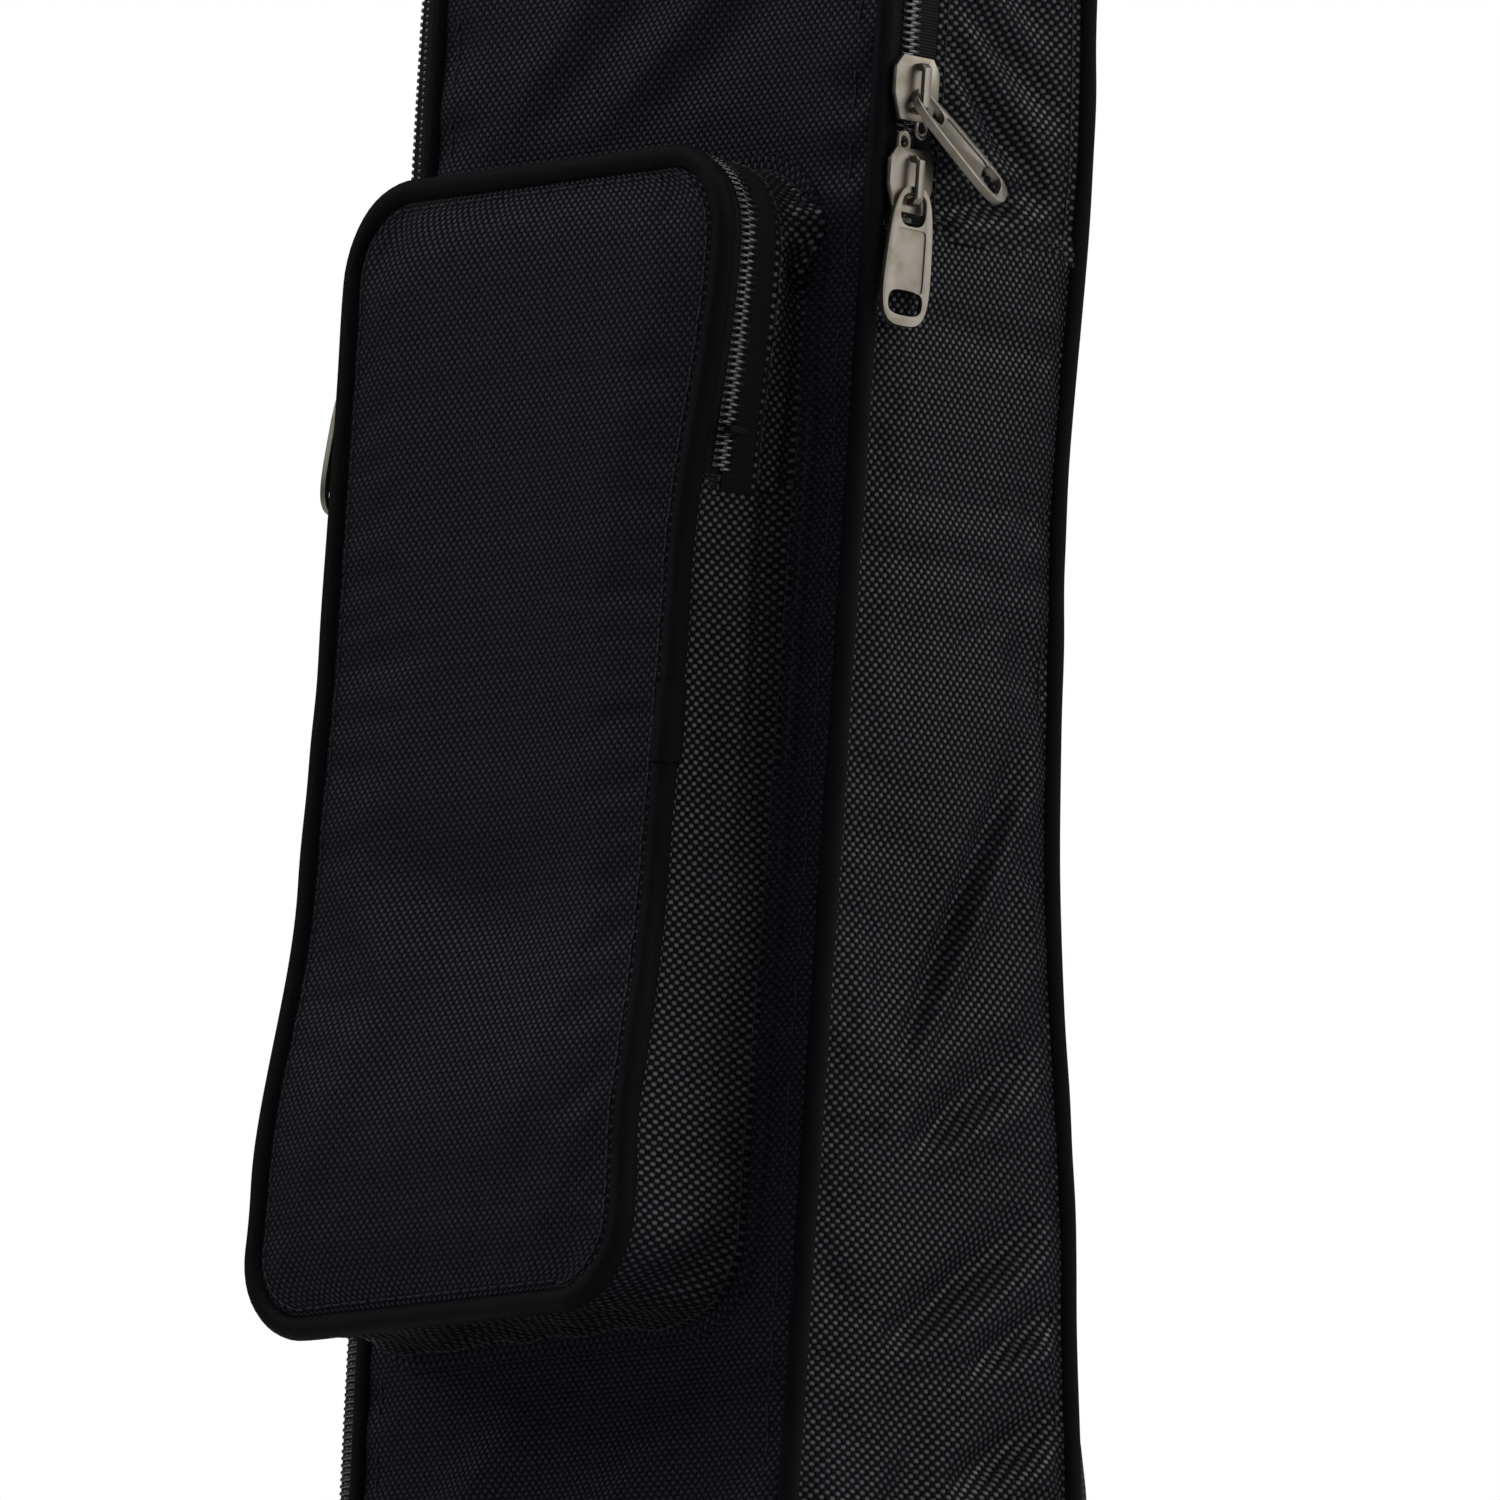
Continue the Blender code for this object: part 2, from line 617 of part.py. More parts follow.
def make_sliders():
    """The two sliders of the main zip on its right run, and the pocket's on its left side."""
    middle = FRONT_Y + COIL_MIDDLE
    tilted = (UPPER_PULLER_TILT, UPPER_PULLER_SLIP)
    for name, z, hang in (("lower", LOWER_SLIDER_Z, ()), ("upper", UPPER_SLIDER_Z, tilted)):
        make_slider("main_slider_" + name, 1, (BODY.right, middle, z))
        make_puller("main_puller_" + name, 1, (BODY.right, middle, z), *hang)
    middle = POCKET_Y + COIL_MIDDLE
    make_slider("pocket_slider", -1, (POCKET.left, middle, POCKET_SLIDER_Z))
    make_puller("pocket_puller", -1, (POCKET.left, middle, POCKET_SLIDER_Z))


# --- the shoulder strap ---------------------------------------------------------------------------------------------
def strap_y(z):
    """The webbing's near face at height z: flat on the back, bowing away towards the lower ring."""
    share = min(1.0, max(0.0, (STRAP_BOW_TOP - z) / (STRAP_BOW_TOP - LOWER_RING_Z)))
    bow = STRAP_BOW * (3 * share ** 2 - 2 * share ** 3)
    return back_y(z) + PANEL / 2 + STRAP_REST + bow


def webbing(name, heights, y_at, kind="webbing", width=STRAP_WIDTH):
    """A flat band of webbing that climbs the back."""
    rings = []
    for z in heights:
        near = y_at(z)
        far = near + STRAP_THICKNESS
        rings.append([(STRAP_X - width / 2, near, z), (STRAP_X + width / 2, near, z),
                      (STRAP_X + width / 2, far, z), (STRAP_X - width / 2, far, z)])
    return sweep(name, rings, kind, smooth=40)


def spread(low, high, count):
    """Evenly spaced values from low to high."""
    return [low + (high - low) * i / (count - 1) for i in range(count)]


def make_ring(name, z, y):
    """A rectangular wire ring that joins a tab to the webbing."""
    half_x = STRAP_WIDTH / 2 + 2 * RING_RADIUS
    half_z = RING_HEIGHT / 2
    corner = 2 * RING_RADIUS
    frame = Outline(STRAP_X - half_x, STRAP_X + half_x, z - half_z, z + half_z, corner)
    rings = []
    for station in frame.loop():
        ring = []
        for step in range(PIPING_SIDES):
            angle = 2 * math.pi * step / PIPING_SIDES
            ring.append(place(station, RING_RADIUS * math.cos(angle), y + RING_RADIUS * math.sin(angle)))
        rings.append(ring)
    sweep(name, rings, "nickel", closed=True, smooth=60)


def make_strap():
    """Two tabs sewn to the back, a ring on each, the webbing between them and its slide."""
    clear = RING_HEIGHT / 2 + RING_RADIUS + GAP
    flat = back_y(UPPER_RING_Z) + PANEL / 2 + STRAP_REST

    def lower_tab_y(z):
        share = max(0.0, (z - (LOWER_RING_Z - clear - TAB_LENGTH)) / TAB_LENGTH)
        return back_y(z) + PANEL / 2 + GAP + (STRAP_REST + STRAP_BOW - GAP) * share ** 2

    heights = spread(LOWER_RING_Z - clear - TAB_LENGTH, LOWER_RING_Z - clear, 7)
    webbing("strap_tab_lower", heights, lower_tab_y)
    webbing("strap_tab_upper", spread(UPPER_RING_Z + clear, UPPER_RING_Z + clear + TAB_LENGTH / 2, 2),
            lambda z: back_y(z) + PANEL / 2 + GAP)
    make_ring("strap_ring_lower", LOWER_RING_Z, strap_y(LOWER_RING_Z) + STRAP_THICKNESS / 2)
    make_ring("strap_ring_upper", UPPER_RING_Z, flat + STRAP_THICKNESS / 2)
    bowed = spread(LOWER_RING_Z + clear, STRAP_BOW_TOP, 9)
    straight = [UPPER_RING_Z - clear]
    webbing("strap_webbing", bowed + straight, strap_y)

    wall, reach = ADJUSTER_WALL, STRAP_WIDTH / 2 + ADJUSTER_WALL + GAP
    rings = []
    for z in (ADJUSTER_Z - ADJUSTER_HEIGHT / 2, ADJUSTER_Z + ADJUSTER_HEIGHT / 2):
        near, far = strap_y(z) - GAP, strap_y(z) + STRAP_THICKNESS + GAP
        plan = [(-reach, near), (-reach + wall, near), (-reach + wall, far), (reach - wall, far),
                (reach - wall, near), (reach, near), (reach, far + wall), (-reach, far + wall)]
        rings.append([(STRAP_X + x, y, z) for x, y in plan])
    sweep("strap_slide", rings, "strap_plastic")


def main():
    for old in list(bpy.data.objects):
        bpy.data.objects.remove(old, do_unlink=True)
    cover = empty("cover_hinge", Vector((BODY.right - PIPING_INSET, FRONT_Y, (BOTTOM + TOP) / 2)))
    flap = empty("pocket_fold", Vector((0.0, POCKET_Y - PIPING_RADIUS, POCKET_FOLD_Z)))
    hang_on(flap, cover)
    make_back()
    make_gussets()
    make_main_zip(cover)
    make_sleeve()
    make_cover(cover)
    make_pocket(cover, flap)
    make_sliders()
    make_strap()


main()
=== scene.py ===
"""Drum stick bag: the cloth, piping, zips, pullers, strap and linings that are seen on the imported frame.

Metres, +Z up, the front faces -Y. The file follows the bag as it is sewn: the case's walls, base, back and
linings, the piping, the main zip with its sliders and pullers, the cover, the front pocket and the shoulder
strap, then the floor, the lights and the camera.
"""

import json
import math

import bpy
import numpy as np
from mathutils import Matrix, Vector


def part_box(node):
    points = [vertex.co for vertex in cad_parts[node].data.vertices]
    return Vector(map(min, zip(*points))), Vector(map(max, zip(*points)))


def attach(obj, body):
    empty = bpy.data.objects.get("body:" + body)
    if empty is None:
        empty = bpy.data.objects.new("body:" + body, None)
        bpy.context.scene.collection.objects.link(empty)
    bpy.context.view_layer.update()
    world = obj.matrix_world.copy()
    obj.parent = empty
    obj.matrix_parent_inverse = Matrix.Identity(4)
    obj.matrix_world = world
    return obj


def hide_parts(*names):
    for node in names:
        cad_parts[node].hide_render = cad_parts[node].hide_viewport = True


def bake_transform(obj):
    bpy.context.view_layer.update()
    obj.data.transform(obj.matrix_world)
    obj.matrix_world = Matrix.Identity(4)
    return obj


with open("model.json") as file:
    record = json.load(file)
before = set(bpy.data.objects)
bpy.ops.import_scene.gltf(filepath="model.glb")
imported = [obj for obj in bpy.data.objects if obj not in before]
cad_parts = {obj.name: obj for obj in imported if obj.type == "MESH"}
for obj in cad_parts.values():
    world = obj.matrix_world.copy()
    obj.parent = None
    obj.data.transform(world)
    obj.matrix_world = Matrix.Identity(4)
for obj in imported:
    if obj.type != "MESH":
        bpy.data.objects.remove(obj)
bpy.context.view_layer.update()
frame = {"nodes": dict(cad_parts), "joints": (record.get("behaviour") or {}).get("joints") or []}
MM = 0.001

# --- the case's walls -----------------------------------------------------------------------------
# The gussets are plain-weave coated nylon, cut as long strips and sewn between the front and the back. The
# weave has about one thread per millimetre, and the coating makes the crowns of the threads shine.
CLOTH = 0.8 * MM
THREAD = 1.0 * MM

pipe_low, pipe_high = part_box("cover_piping")
PIPE = (pipe_high.y - pipe_low.y) / 2
FRONT = (pipe_high.y + pipe_low.y) / 2
left_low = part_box("gusset_left")[0]
top_low, top_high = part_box("gusset_top")
back_low, back_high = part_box("back_piping")
LEFT, BOTTOM = left_low.x, left_low.z
RIGHT, TOP = -LEFT, top_high.z
BEND = top_high.z - top_low.z
INSET = PIPE - (LEFT - pipe_low.x)
BACK_BASE, BACK_TOP = back_high.y - PIPE, back_low.y + PIPE
seam_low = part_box("gusset_right_upper")[0]
ZIP_END = seam_low.z
BEHIND_ZIP = seam_low.y


def back_y(z):
    """The back piping's centre at height z."""
    return BACK_BASE + (BACK_TOP - BACK_BASE) * (z - BOTTOM) / (TOP - BOTTOM)


def alone(obj):
    """Selects one object and nothing else."""
    bpy.ops.object.select_all(action="DESELECT")
    obj.select_set(True)
    bpy.context.view_layer.objects.active = obj
    return obj


def apply_modifier(obj, kind, **settings):
    """Adds a modifier with these settings and applies it."""
    alone(obj)
    made = obj.modifiers.new(kind.lower(), kind)
    for key, value in settings.items():
        setattr(made, key, value)
    bpy.ops.object.modifier_apply(modifier=made.name)


def edit_all(obj):
    """Opens a piece in edit mode with all of it selected."""
    alone(obj)
    bpy.ops.object.mode_set(mode="EDIT")
    bpy.ops.mesh.select_all(action="SELECT")


def points_of(obj):
    """A piece's vertices, a row of x, y and z for each."""
    flat = np.empty(len(obj.data.vertices) * 3)
    obj.data.vertices.foreach_get("co", flat)
    return flat.reshape(-1, 3)


def put_points(obj, points):
    """Moves a piece's vertices to these places."""
    obj.data.vertices.foreach_set("co", points.ravel())
    obj.data.update()


def smooth(obj, angle=60):
    """Rounds every edge under this angle."""
    alone(obj)
    bpy.ops.object.shade_smooth_by_angle(angle=math.radians(angle))
    return obj


class Rim:
    """A rectangle with round corners in XZ, walked by its length.

    The walk goes up the right side from its foot, over the top, down the left side and along the bottom.
    """

    def __init__(self, left, right, bottom, top, radius):
        self.radius = radius
        self.foot = bottom + radius
        self.tall = top - bottom - 2 * radius
        self.wide = right - left - 2 * radius
        self.bend = radius * math.pi / 2
        self.total = 2 * (self.tall + self.wide) + 4 * self.bend
        self.centres = [(right - radius, top - radius), (left + radius, top - radius),
                        (left + radius, bottom + radius), (right - radius, bottom + radius)]

    def right_at(self, z):
        """The walk's length where its right side reaches height z."""
        return z - self.foot

    def left_at(self, z):
        """The walk's length where its left side reaches height z."""
        return self.tall + 2 * self.bend + self.wide + (self.foot + self.tall - z)

    def at(self, s, out=0.0):
        """x, z and the outward normal at each length of the walk, at a distance out."""
        s = np.mod(np.asarray(s, float), self.total)
        x, z, nx, nz = (np.zeros_like(s) for _ in range(4))
        start = 0.0
        for side in range(4):
            angle = side * math.pi / 2
            run = self.tall if side % 2 == 0 else self.wide
            here = (s >= start) & (s < start + run)
            cx, cz = self.centres[side - 1]
            step = s[here] - start
            x[here] = cx + self.radius * math.cos(angle) - math.sin(angle) * step
            z[here] = cz + self.radius * math.sin(angle) + math.cos(angle) * step
            nx[here], nz[here] = math.cos(angle), math.sin(angle)
            start += run
            here = (s >= start) & (s < start + self.bend)
            cx, cz = self.centres[side]
            turn = angle + (s[here] - start) / self.radius
            nx[here], nz[here] = np.cos(turn), np.sin(turn)
            x[here] = cx + self.radius * nx[here]
            z[here] = cz + self.radius * nz[here]
            start += self.bend
        return x + nx * out, z + nz * out, nx, nz


BODY = Rim(LEFT, RIGHT, BOTTOM, TOP, BEND)


def ripple(a, b, size, seed=0.0):
    """Smooth waves in two directions, between -1 and 1, that don't repeat at once."""
    first = np.sin(a / size + 1.7 * np.sin(b / size * 0.61 + seed) + seed)
    second = np.sin(b / size * 1.13 + 1.3 * np.sin(a / size * 0.47 + 2.1 * seed))
    return (first + second) / 2


def fold(a, b, start, end, width, height):
    """A soft fold along a line on the sheet: a ridge with a shallow valley beside it."""
    start, end = np.array(start, float), np.array(end, float)
    line = end - start
    length = np.linalg.norm(line)
    line /= length
    along = (a - start[0]) * line[0] + (b - start[1]) * line[1]
    across = (a - start[0]) * line[1] - (b - start[1]) * line[0]
    reach = np.clip(along / length, 0, 1)
    taper = np.sin(np.pi * np.clip(reach, 0.02, 0.98)) ** 0.7
    ends = np.exp(-np.maximum(np.maximum(-along, along - length), 0) ** 2 / (2 * width ** 2))
    spread = across / (width * (0.7 + 0.6 * reach))
    return height * taper * ends * (np.exp(-spread ** 2) - 0.45 * np.exp(-(spread - 1.6) ** 2))


def ease(value, start, end):
    """0 before start, 1 after end, and a smooth rise between them."""
    share = np.clip((np.asarray(value, float) - start) / (end - start), 0, 1)
    return share * share * (3 - 2 * share)


def through(value, *stops):
    """A smooth curve through (value, result) stops."""
    at, result = (np.array(column, float) for column in zip(*stops))
    value = np.clip(np.asarray(value, float), at[0], at[-1])
    step = np.clip(np.searchsorted(at, value, side="right") - 1, 0, len(at) - 2)
    share = ease(value, at[step], at[step + 1])
    return result[step] + (result[step + 1] - result[step]) * share


def sag(x, y, z):
    """How the filled bag stands away from a straight box.

    The back's right edge waves, and the left side swells and leans out towards the top.
    """
    wave = through(z, (0, 2), (0.055, 1), (0.100, -0.5), (0.190, -5.5), (0.240, -4.6), (0.345, 3.0),
                   (0.400, 3.7), (TOP, 0)) * MM
    edge = np.where(wave > 0, ease(x, 61 * MM, RIGHT), ease(x, 22 * MM, RIGHT))
    rear = ease(y, FRONT + 4 * MM, back_y(z)) * edge
    left = ease(-x, 30 * MM, RIGHT)
    taper = through(z, (0, 2.0), (0.130, 0), (0.360, -4.0), (TOP, -4.6)) * MM * ease(-x, 0, RIGHT)
    full = through(z, (0.012, 0), (0.060, 1), (0.200, 0.9), (0.360, 0.82), (0.400, 0.6), (TOP - 0.012, 0))
    depth = (y - FRONT) / (back_y(z) - FRONT)
    swell = ease(depth, 0.0, 0.13) * (1 - ease(depth, 0.25, 1.0)) * left * full
    return x + taper - 10.5 * MM * swell, y + wave * rear - 4.5 * MM * swell, z


def cloth_sheet(name, columns, rows, size, surface):
    """A grid laid over surface(u, v), with u and v from 0 to 1; size is the cloth's flat width and length."""
    bpy.ops.object.select_all(action="DESELECT")
    bpy.ops.mesh.primitive_grid_add(x_subdivisions=columns, y_subdivisions=rows, size=1.0)
    sheet = bpy.context.object
    sheet.name = sheet.data.name = name
    flat = points_of(sheet)
    put_points(sheet, np.column_stack(surface(flat[:, 0] + 0.5, flat[:, 1] + 0.5)))
    layer = sheet.data.uv_layers.active.data
    corners = np.empty(len(layer) * 2)
    layer.foreach_get("uv", corners)
    corners = corners.reshape(-1, 2) * np.array(size)
    layer.foreach_set("uv", corners.ravel())
    sheet.data.update()
    return sheet


def face_away(obj, point):
    """Turns a sheet's faces away from a point behind it."""
    total = 0.0
    for face in obj.data.polygons:
        total += (face.center - point).dot(face.normal) * face.area
    if total < 0:
        edit_all(obj)
        bpy.ops.mesh.flip_normals()
        bpy.ops.object.mode_set(mode="OBJECT")


def warped(obj, warp):
    """Moves a piece's vertices by warp(x, y, z)."""
    points = points_of(obj)
    put_points(obj, np.column_stack(warp(points[:, 0], points[:, 1], points[:, 2])))
    return obj


class Tree:
    """A short way to write a node tree. An input is a plain value, or a socket that is linked to it."""

    def __init__(self, tree):
        self.tree = tree

    def fill(self, node, inputs):
        """Sets or links a node's inputs."""
        for key, value in dict(inputs).items():
            if isinstance(value, bpy.types.NodeSocket):
                self.tree.links.new(value, node.inputs[key])
            else:
                node.inputs[key].default_value = value
        return node

    def add(self, kind, inputs=(), **settings):
        """Makes a node of one kind."""
        made = self.tree.nodes.new("ShaderNode" + kind)
        for key, value in settings.items():
            setattr(made, key, value)
        return self.fill(made, inputs)

    def place(self, group, inputs):
        """Places a node group; returns its outputs."""
        made = self.tree.nodes.new("ShaderNodeGroup")
        made.node_tree = group
        return self.fill(made, inputs).outputs

    def math(self, operation, a, b=0.0, c=0.0):
        """The result of a Math node."""
        return self.add("Math", {0: a, 1: b, 2: c}, operation=operation).outputs[0]

    def bump(self, height, strength, distance):
        """The normal of a Bump node."""
        return self.add("Bump", {"Height": height, "Strength": strength, "Distance": distance}).outputs[0]

    def noise(self, place, scale, detail=2.0):
        """The value of a Noise Texture."""
        return self.add("TexNoise", {"Vector": place, "Scale": scale, "Detail": detail}).outputs["Fac"]

    def between(self, value, low, high, start=0.0, end=1.0):
        """A value from start to end, mapped to low to high."""
        return self.add("MapRange", {"Value": value, "From Min": start, "From Max": end, "To Min": low,
                                     "To Max": high}).outputs[0]

    def mix(self, share, a, b):
        """A colour between two others."""
        made = self.tree.nodes.new("ShaderNodeMix")
        made.data_type = "RGBA"
        for socket, value in ((made.inputs[0], share), (made.inputs[6], a), (made.inputs[7], b)):
            if isinstance(value, bpy.types.NodeSocket):
                self.tree.links.new(value, socket)
            else:
                socket.default_value = value if socket.type == "VALUE" else (*value[:3], 1.0)
        return made.outputs[2]


def new_group(name, inputs, outputs):
    """An empty node group with these sockets; returns it, its input node and its output node."""
    group = bpy.data.node_groups.new(name, "ShaderNodeTree")
    for label, kind in inputs:
        group.interface.new_socket(label, in_out="INPUT", socket_type="NodeSocket" + kind)
    for label, kind in outputs:
        group.interface.new_socket(label, in_out="OUTPUT", socket_type="NodeSocket" + kind)
    return group, group.nodes.new("NodeGroupInput"), group.nodes.new("NodeGroupOutput")


def plain_weave_group():
    """Threads that pass over and under: their height, their crowns, and a value for each thread."""
    sockets = [("Vector", "Vector"), ("Threads", "Float"), ("Waver", "Float"), ("Upright Shine", "Float")]
    results = [("Height", "Float"), ("Crown", "Float"), ("Thread", "Float")]
    group, start, end = new_group("plain_weave", sockets, results)
    tree = Tree(group)
    waver = tree.add("TexNoise", {"Vector": start.outputs["Vector"], "Scale": 130.0, "Detail": 2.0})
    drift = tree.add("VectorMath", {0: waver.outputs["Color"], 1: (0.5, 0.5, 0.5)}, operation="SUBTRACT")
    drift = tree.add("VectorMath", {0: drift.outputs[0], "Scale": start.outputs["Waver"]}, operation="SCALE")
    counted = tree.add("VectorMath", {0: start.outputs["Vector"], "Scale": start.outputs["Threads"]},
                       operation="SCALE")
    spot = tree.add("VectorMath", {0: counted.outputs[0], 1: drift.outputs[0]}, operation="ADD")
    axes = tree.add("SeparateXYZ", {0: spot.outputs[0]})
    round_over, cells = [], []
    for axis in (0, 1):
        cells.append(tree.math("FLOOR", axes.outputs[axis]))
        inside = tree.math("SUBTRACT", tree.math("FRACT", axes.outputs[axis]), 0.5)
        round_over.append(tree.math("COSINE", tree.math("MULTIPLY", inside, math.pi)))
    odd = tree.math("FLOORED_MODULO", tree.math("ADD", cells[0], cells[1]), 2.0)
    even = tree.math("SUBTRACT", 1.0, odd)
    heights = []
    for across, along in ((0, 1), (1, 0)):
        arch = tree.math("MULTIPLY_ADD", round_over[along], 0.45, 0.55)
        heights.append(tree.math("MULTIPLY", tree.math("POWER", round_over[across], 0.6), arch))
    upright = tree.math("MULTIPLY", heights[0], odd)
    level = tree.math("MULTIPLY", heights[1], even)
    height = tree.math("ADD", upright, level)
    shown = tree.math("ADD", level, tree.math("MULTIPLY", upright, start.outputs["Upright Shine"]))
    crown = tree.math("POWER", shown, 2.1)
    each = tree.mix(odd, tree.add("CombineXYZ", {0: cells[1], 1: 0.3}).outputs[0],
                    tree.add("CombineXYZ", {0: cells[0], 1: 7.3}).outputs[0])
    chance = tree.add("TexWhiteNoise", {"Vector": each}, noise_dimensions="3D")
    tree.fill(end, {"Height": height, "Crown": crown, "Thread": chance.outputs["Value"]})
    return group


def worn_group():
    """Broad rubbed and dusty patches with a fine speckle in them."""
    group, start, end = new_group("rubbed", [("Vector", "Vector"), ("Scale", "Float")],
                                  [("Amount", "Float")])
    tree = Tree(group)
    place = start.outputs["Vector"]
    broad = tree.add("TexNoise", {"Vector": place, "Scale": start.outputs["Scale"], "Detail": 3.0,
                                  "Roughness": 0.6}).outputs["Fac"]
    both = tree.math("MULTIPLY", broad, tree.noise(place, 900.0, 1.0))
    tree.fill(end, {"Amount": tree.between(both, 0.0, 1.0, 0.18, 0.42)})
    return group


PLAIN_WEAVE = plain_weave_group()
RUBBED = worn_group()


def new_material(name):
    """A new material: returns it, its node tree and its shader."""
    made = bpy.data.materials.new(name)
    made.use_nodes = True
    return made, Tree(made.node_tree), made.node_tree.nodes["Principled BSDF"]


def woven_material(name, thread, deep, crown, relief, shine, gloss, upright=0.12):
    """Plain-weave cloth on the piece's own UV map, in metres; shine is how much the crowns reflect. The colour
    runs from deep to crown: the cloth's own dark colour, with painted shade in the hollows between threads and
    a painted highlight on the thread crowns.
    """
    made, tree, shader = new_material(name)
    place = tree.add("UVMap").outputs[0]
    weave = tree.place(PLAIN_WEAVE, {"Vector": place, "Threads": 1 / thread, "Waver": 0.12,
                                     "Upright Shine": upright})
    worn = tree.place(RUBBED, {"Vector": place, "Scale": 22.0})["Amount"]
    # Painted light: the crowns take the crown colour as a painted highlight and the hollows take the deep
    # colour as painted shade.
    body = tree.mix(weave["Crown"], deep, crown)
    shaded = tree.mix(tree.math("MULTIPLY", weave["Thread"], 0.3), body, deep)
    even = tree.math("MULTIPLY_ADD", weave["Thread"], -0.25, 1.0)
    slub = tree.math("MULTIPLY_ADD", weave["Thread"], 0.25, weave["Height"])
    tree.fill(shader, {
        "Base Color": tree.mix(tree.math("MULTIPLY", worn, 0.10), shaded, crown),
        "Coat Weight": tree.math("MULTIPLY", tree.math("MULTIPLY", weave["Crown"], even), shine),
        "Coat Roughness": gloss,
        "Roughness": 0.9,
        "Specular IOR Level": 0.06,
        "Normal": tree.bump(slub, 1.0, relief),
    })
    return made


# The front and the sides are the same cloth. The side copy has darker hollows and brighter, bluer crowns,
# which paint the shade and the sheen that the side light gives it.
FRONT_CLOTH = woven_material("front_cloth", THREAD, deep=(0.0070, 0.0056, 0.0100),
                             crown=(0.0290, 0.0250, 0.0390), relief=0.30 * MM, shine=0.42, gloss=0.42)
SIDE_CLOTH = woven_material("side_cloth", 1.06 * THREAD, deep=(0.0022, 0.0023, 0.0030),
                            crown=(0.0300, 0.0340, 0.0400), relief=0.36 * MM, shine=1.0, gloss=0.42,
                            upright=0.16)


def wear_on(obj, body, slot, look, *nodes):
    """Gives a piece its material and its body, and hides the CAD nodes that it stands for; slot is not used.
    """
    obj.data.materials.clear()
    obj.data.materials.append(look)
    if body:
        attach(obj, body)
    if nodes:
        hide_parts(*nodes)
    return obj


def settle(obj, pressure, slack, cap):
    """Lets cloth, held by its border and cut a little large, swell and buckle, within a cap."""
    last_frame = 20
    before = points_of(obj)
    used = {}
    for face in obj.data.polygons:
        for key in face.edge_keys:
            used[key] = used.get(key, 0) + 1
    border = sorted({vertex for key, times in used.items() if times == 1 for vertex in key})
    obj.vertex_groups.new(name="held").add(border, 1.0, "REPLACE")
    alone(obj)
    cloth = obj.modifiers.new("cloth", "CLOTH")
    cloth.settings.quality = 5
    cloth.settings.mass = 0.2
    cloth.settings.tension_stiffness = 20
    cloth.settings.compression_stiffness = 20
    cloth.settings.bending_stiffness = 0.12
    cloth.settings.vertex_group_mass = "held"
    cloth.settings.effector_weights.gravity = 0
    cloth.settings.use_pressure = True
    cloth.settings.uniform_pressure_force = pressure
    cloth.settings.shrink_min = -slack
    cloth.point_cache.frame_start = 1
    cloth.point_cache.frame_end = last_frame
    for number in range(1, last_frame + 1):
        bpy.context.scene.frame_set(number)
    bpy.ops.object.modifier_apply(modifier=cloth.name)
    move = points_of(obj) - before
    reach = np.linalg.norm(move, axis=1, keepdims=True)
    move *= np.minimum(1.0, cap / np.maximum(reach, 1e-9))
    put_points(obj, before + move)
    bpy.context.scene.frame_set(1)


def gusset(name, start, end, front_y, relief, node, columns=14, step=2.4 * MM, slack=0.0):
    """A strip of cloth from a front edge to the back piping; relief(s, share, z) is how far it stands off."""
    rows = max(8, int((end - start) / step))
    depth = float(back_y(BODY.at((start + end) / 2)[1]) - front_y)

    def surface(u, v):
        s = start + (end - start) * v
        x, z, nx, nz = BODY.at(s)
        y = front_y + (back_y(z) - PIPE * 0.8 - front_y) * u
        out = relief(s, u, z)
        return x + nx * out, y, z + nz * out

    strip = cloth_sheet(name, columns, rows, (depth, end - start), surface)
    face_away(strip, Vector((0, 0, (TOP + BOTTOM) / 2)))
    if slack:
        settle(strip, pressure=1.2, slack=slack, cap=1.8 * MM)
    warped(strip, sag)
    apply_modifier(strip, "SOLIDIFY", thickness=CLOTH, offset=-1.0)
    wear_on(smooth(strip), "case", "oxford_cloth", SIDE_CLOTH, node)
    return strip


def seam_puckers(s, share, amount):
    """Small gathers that run in from both long edges of a strip."""
    size = 3.2 * MM
    edge = np.minimum(share, 1 - share)
    waves = np.sin(s / size + 2 * np.sin(s / size * 0.37)) * (0.6 + 0.4 * np.sin(s / (31 * MM)))
    return amount * np.exp(-edge / 0.10) * waves * ease(edge, 0, 0.05)


def right_lower_relief(s, share, z):
    """The right side below the zip: a slight belly, and creases that slant down from the back to the front.

    Each crease has its two ends as (y, z), its width and its depth, in millimetres.
    """
    y = (FRONT + share * (back_y(z) - FRONT)) / MM
    height = z / MM
    held = ease(share, 0, 0.16) * ease(1 - share, 0, 0.10)
    low = 1 - ease(z, 0.150, 0.230)
    out = 1.7 * MM * held + 0.30 * MM * ripple(height, y, 15, 0.4) * held * (0.15 + low)
    for start, end, width, deep in (
        ((-21, 138), (13, 210), 3.4, 2.8), ((-16, 124), (17, 149), 4.6, 3.6),
        ((-20, 84), (22, 117), 4.8, 4.0), ((2, 82), (31, 101), 3.8, 3.2),
        ((-2, 58), (33, 80), 4.8, 4.0), ((-20, 34), (30, 54), 5.2, 3.4),
        ((14, 186), (24, 176), 2.6, 1.4), ((-20, 40), (-4, 72), 5.0, 1.6),
        ((6, 236), (26, 208), 6.0, 1.2),
    ):
        out -= held * fold(y, height, start, end, width, deep * MM)
    return out + seam_puckers(s, share, 0.40 * MM)


def upper_relief(s, share, z):
    """The sides behind the zip: softly gathered by the zip's tape, at every height z."""
    held = ease(share, 0, 0.25) * ease(1 - share, 0, 0.2)
    across = share * 40 * MM
    out = 0.7 * MM * held + 0.45 * MM * held * ripple(s, across, 9 * MM, 1.9)
    return out + seam_puckers(s, share, 0.45 * MM)


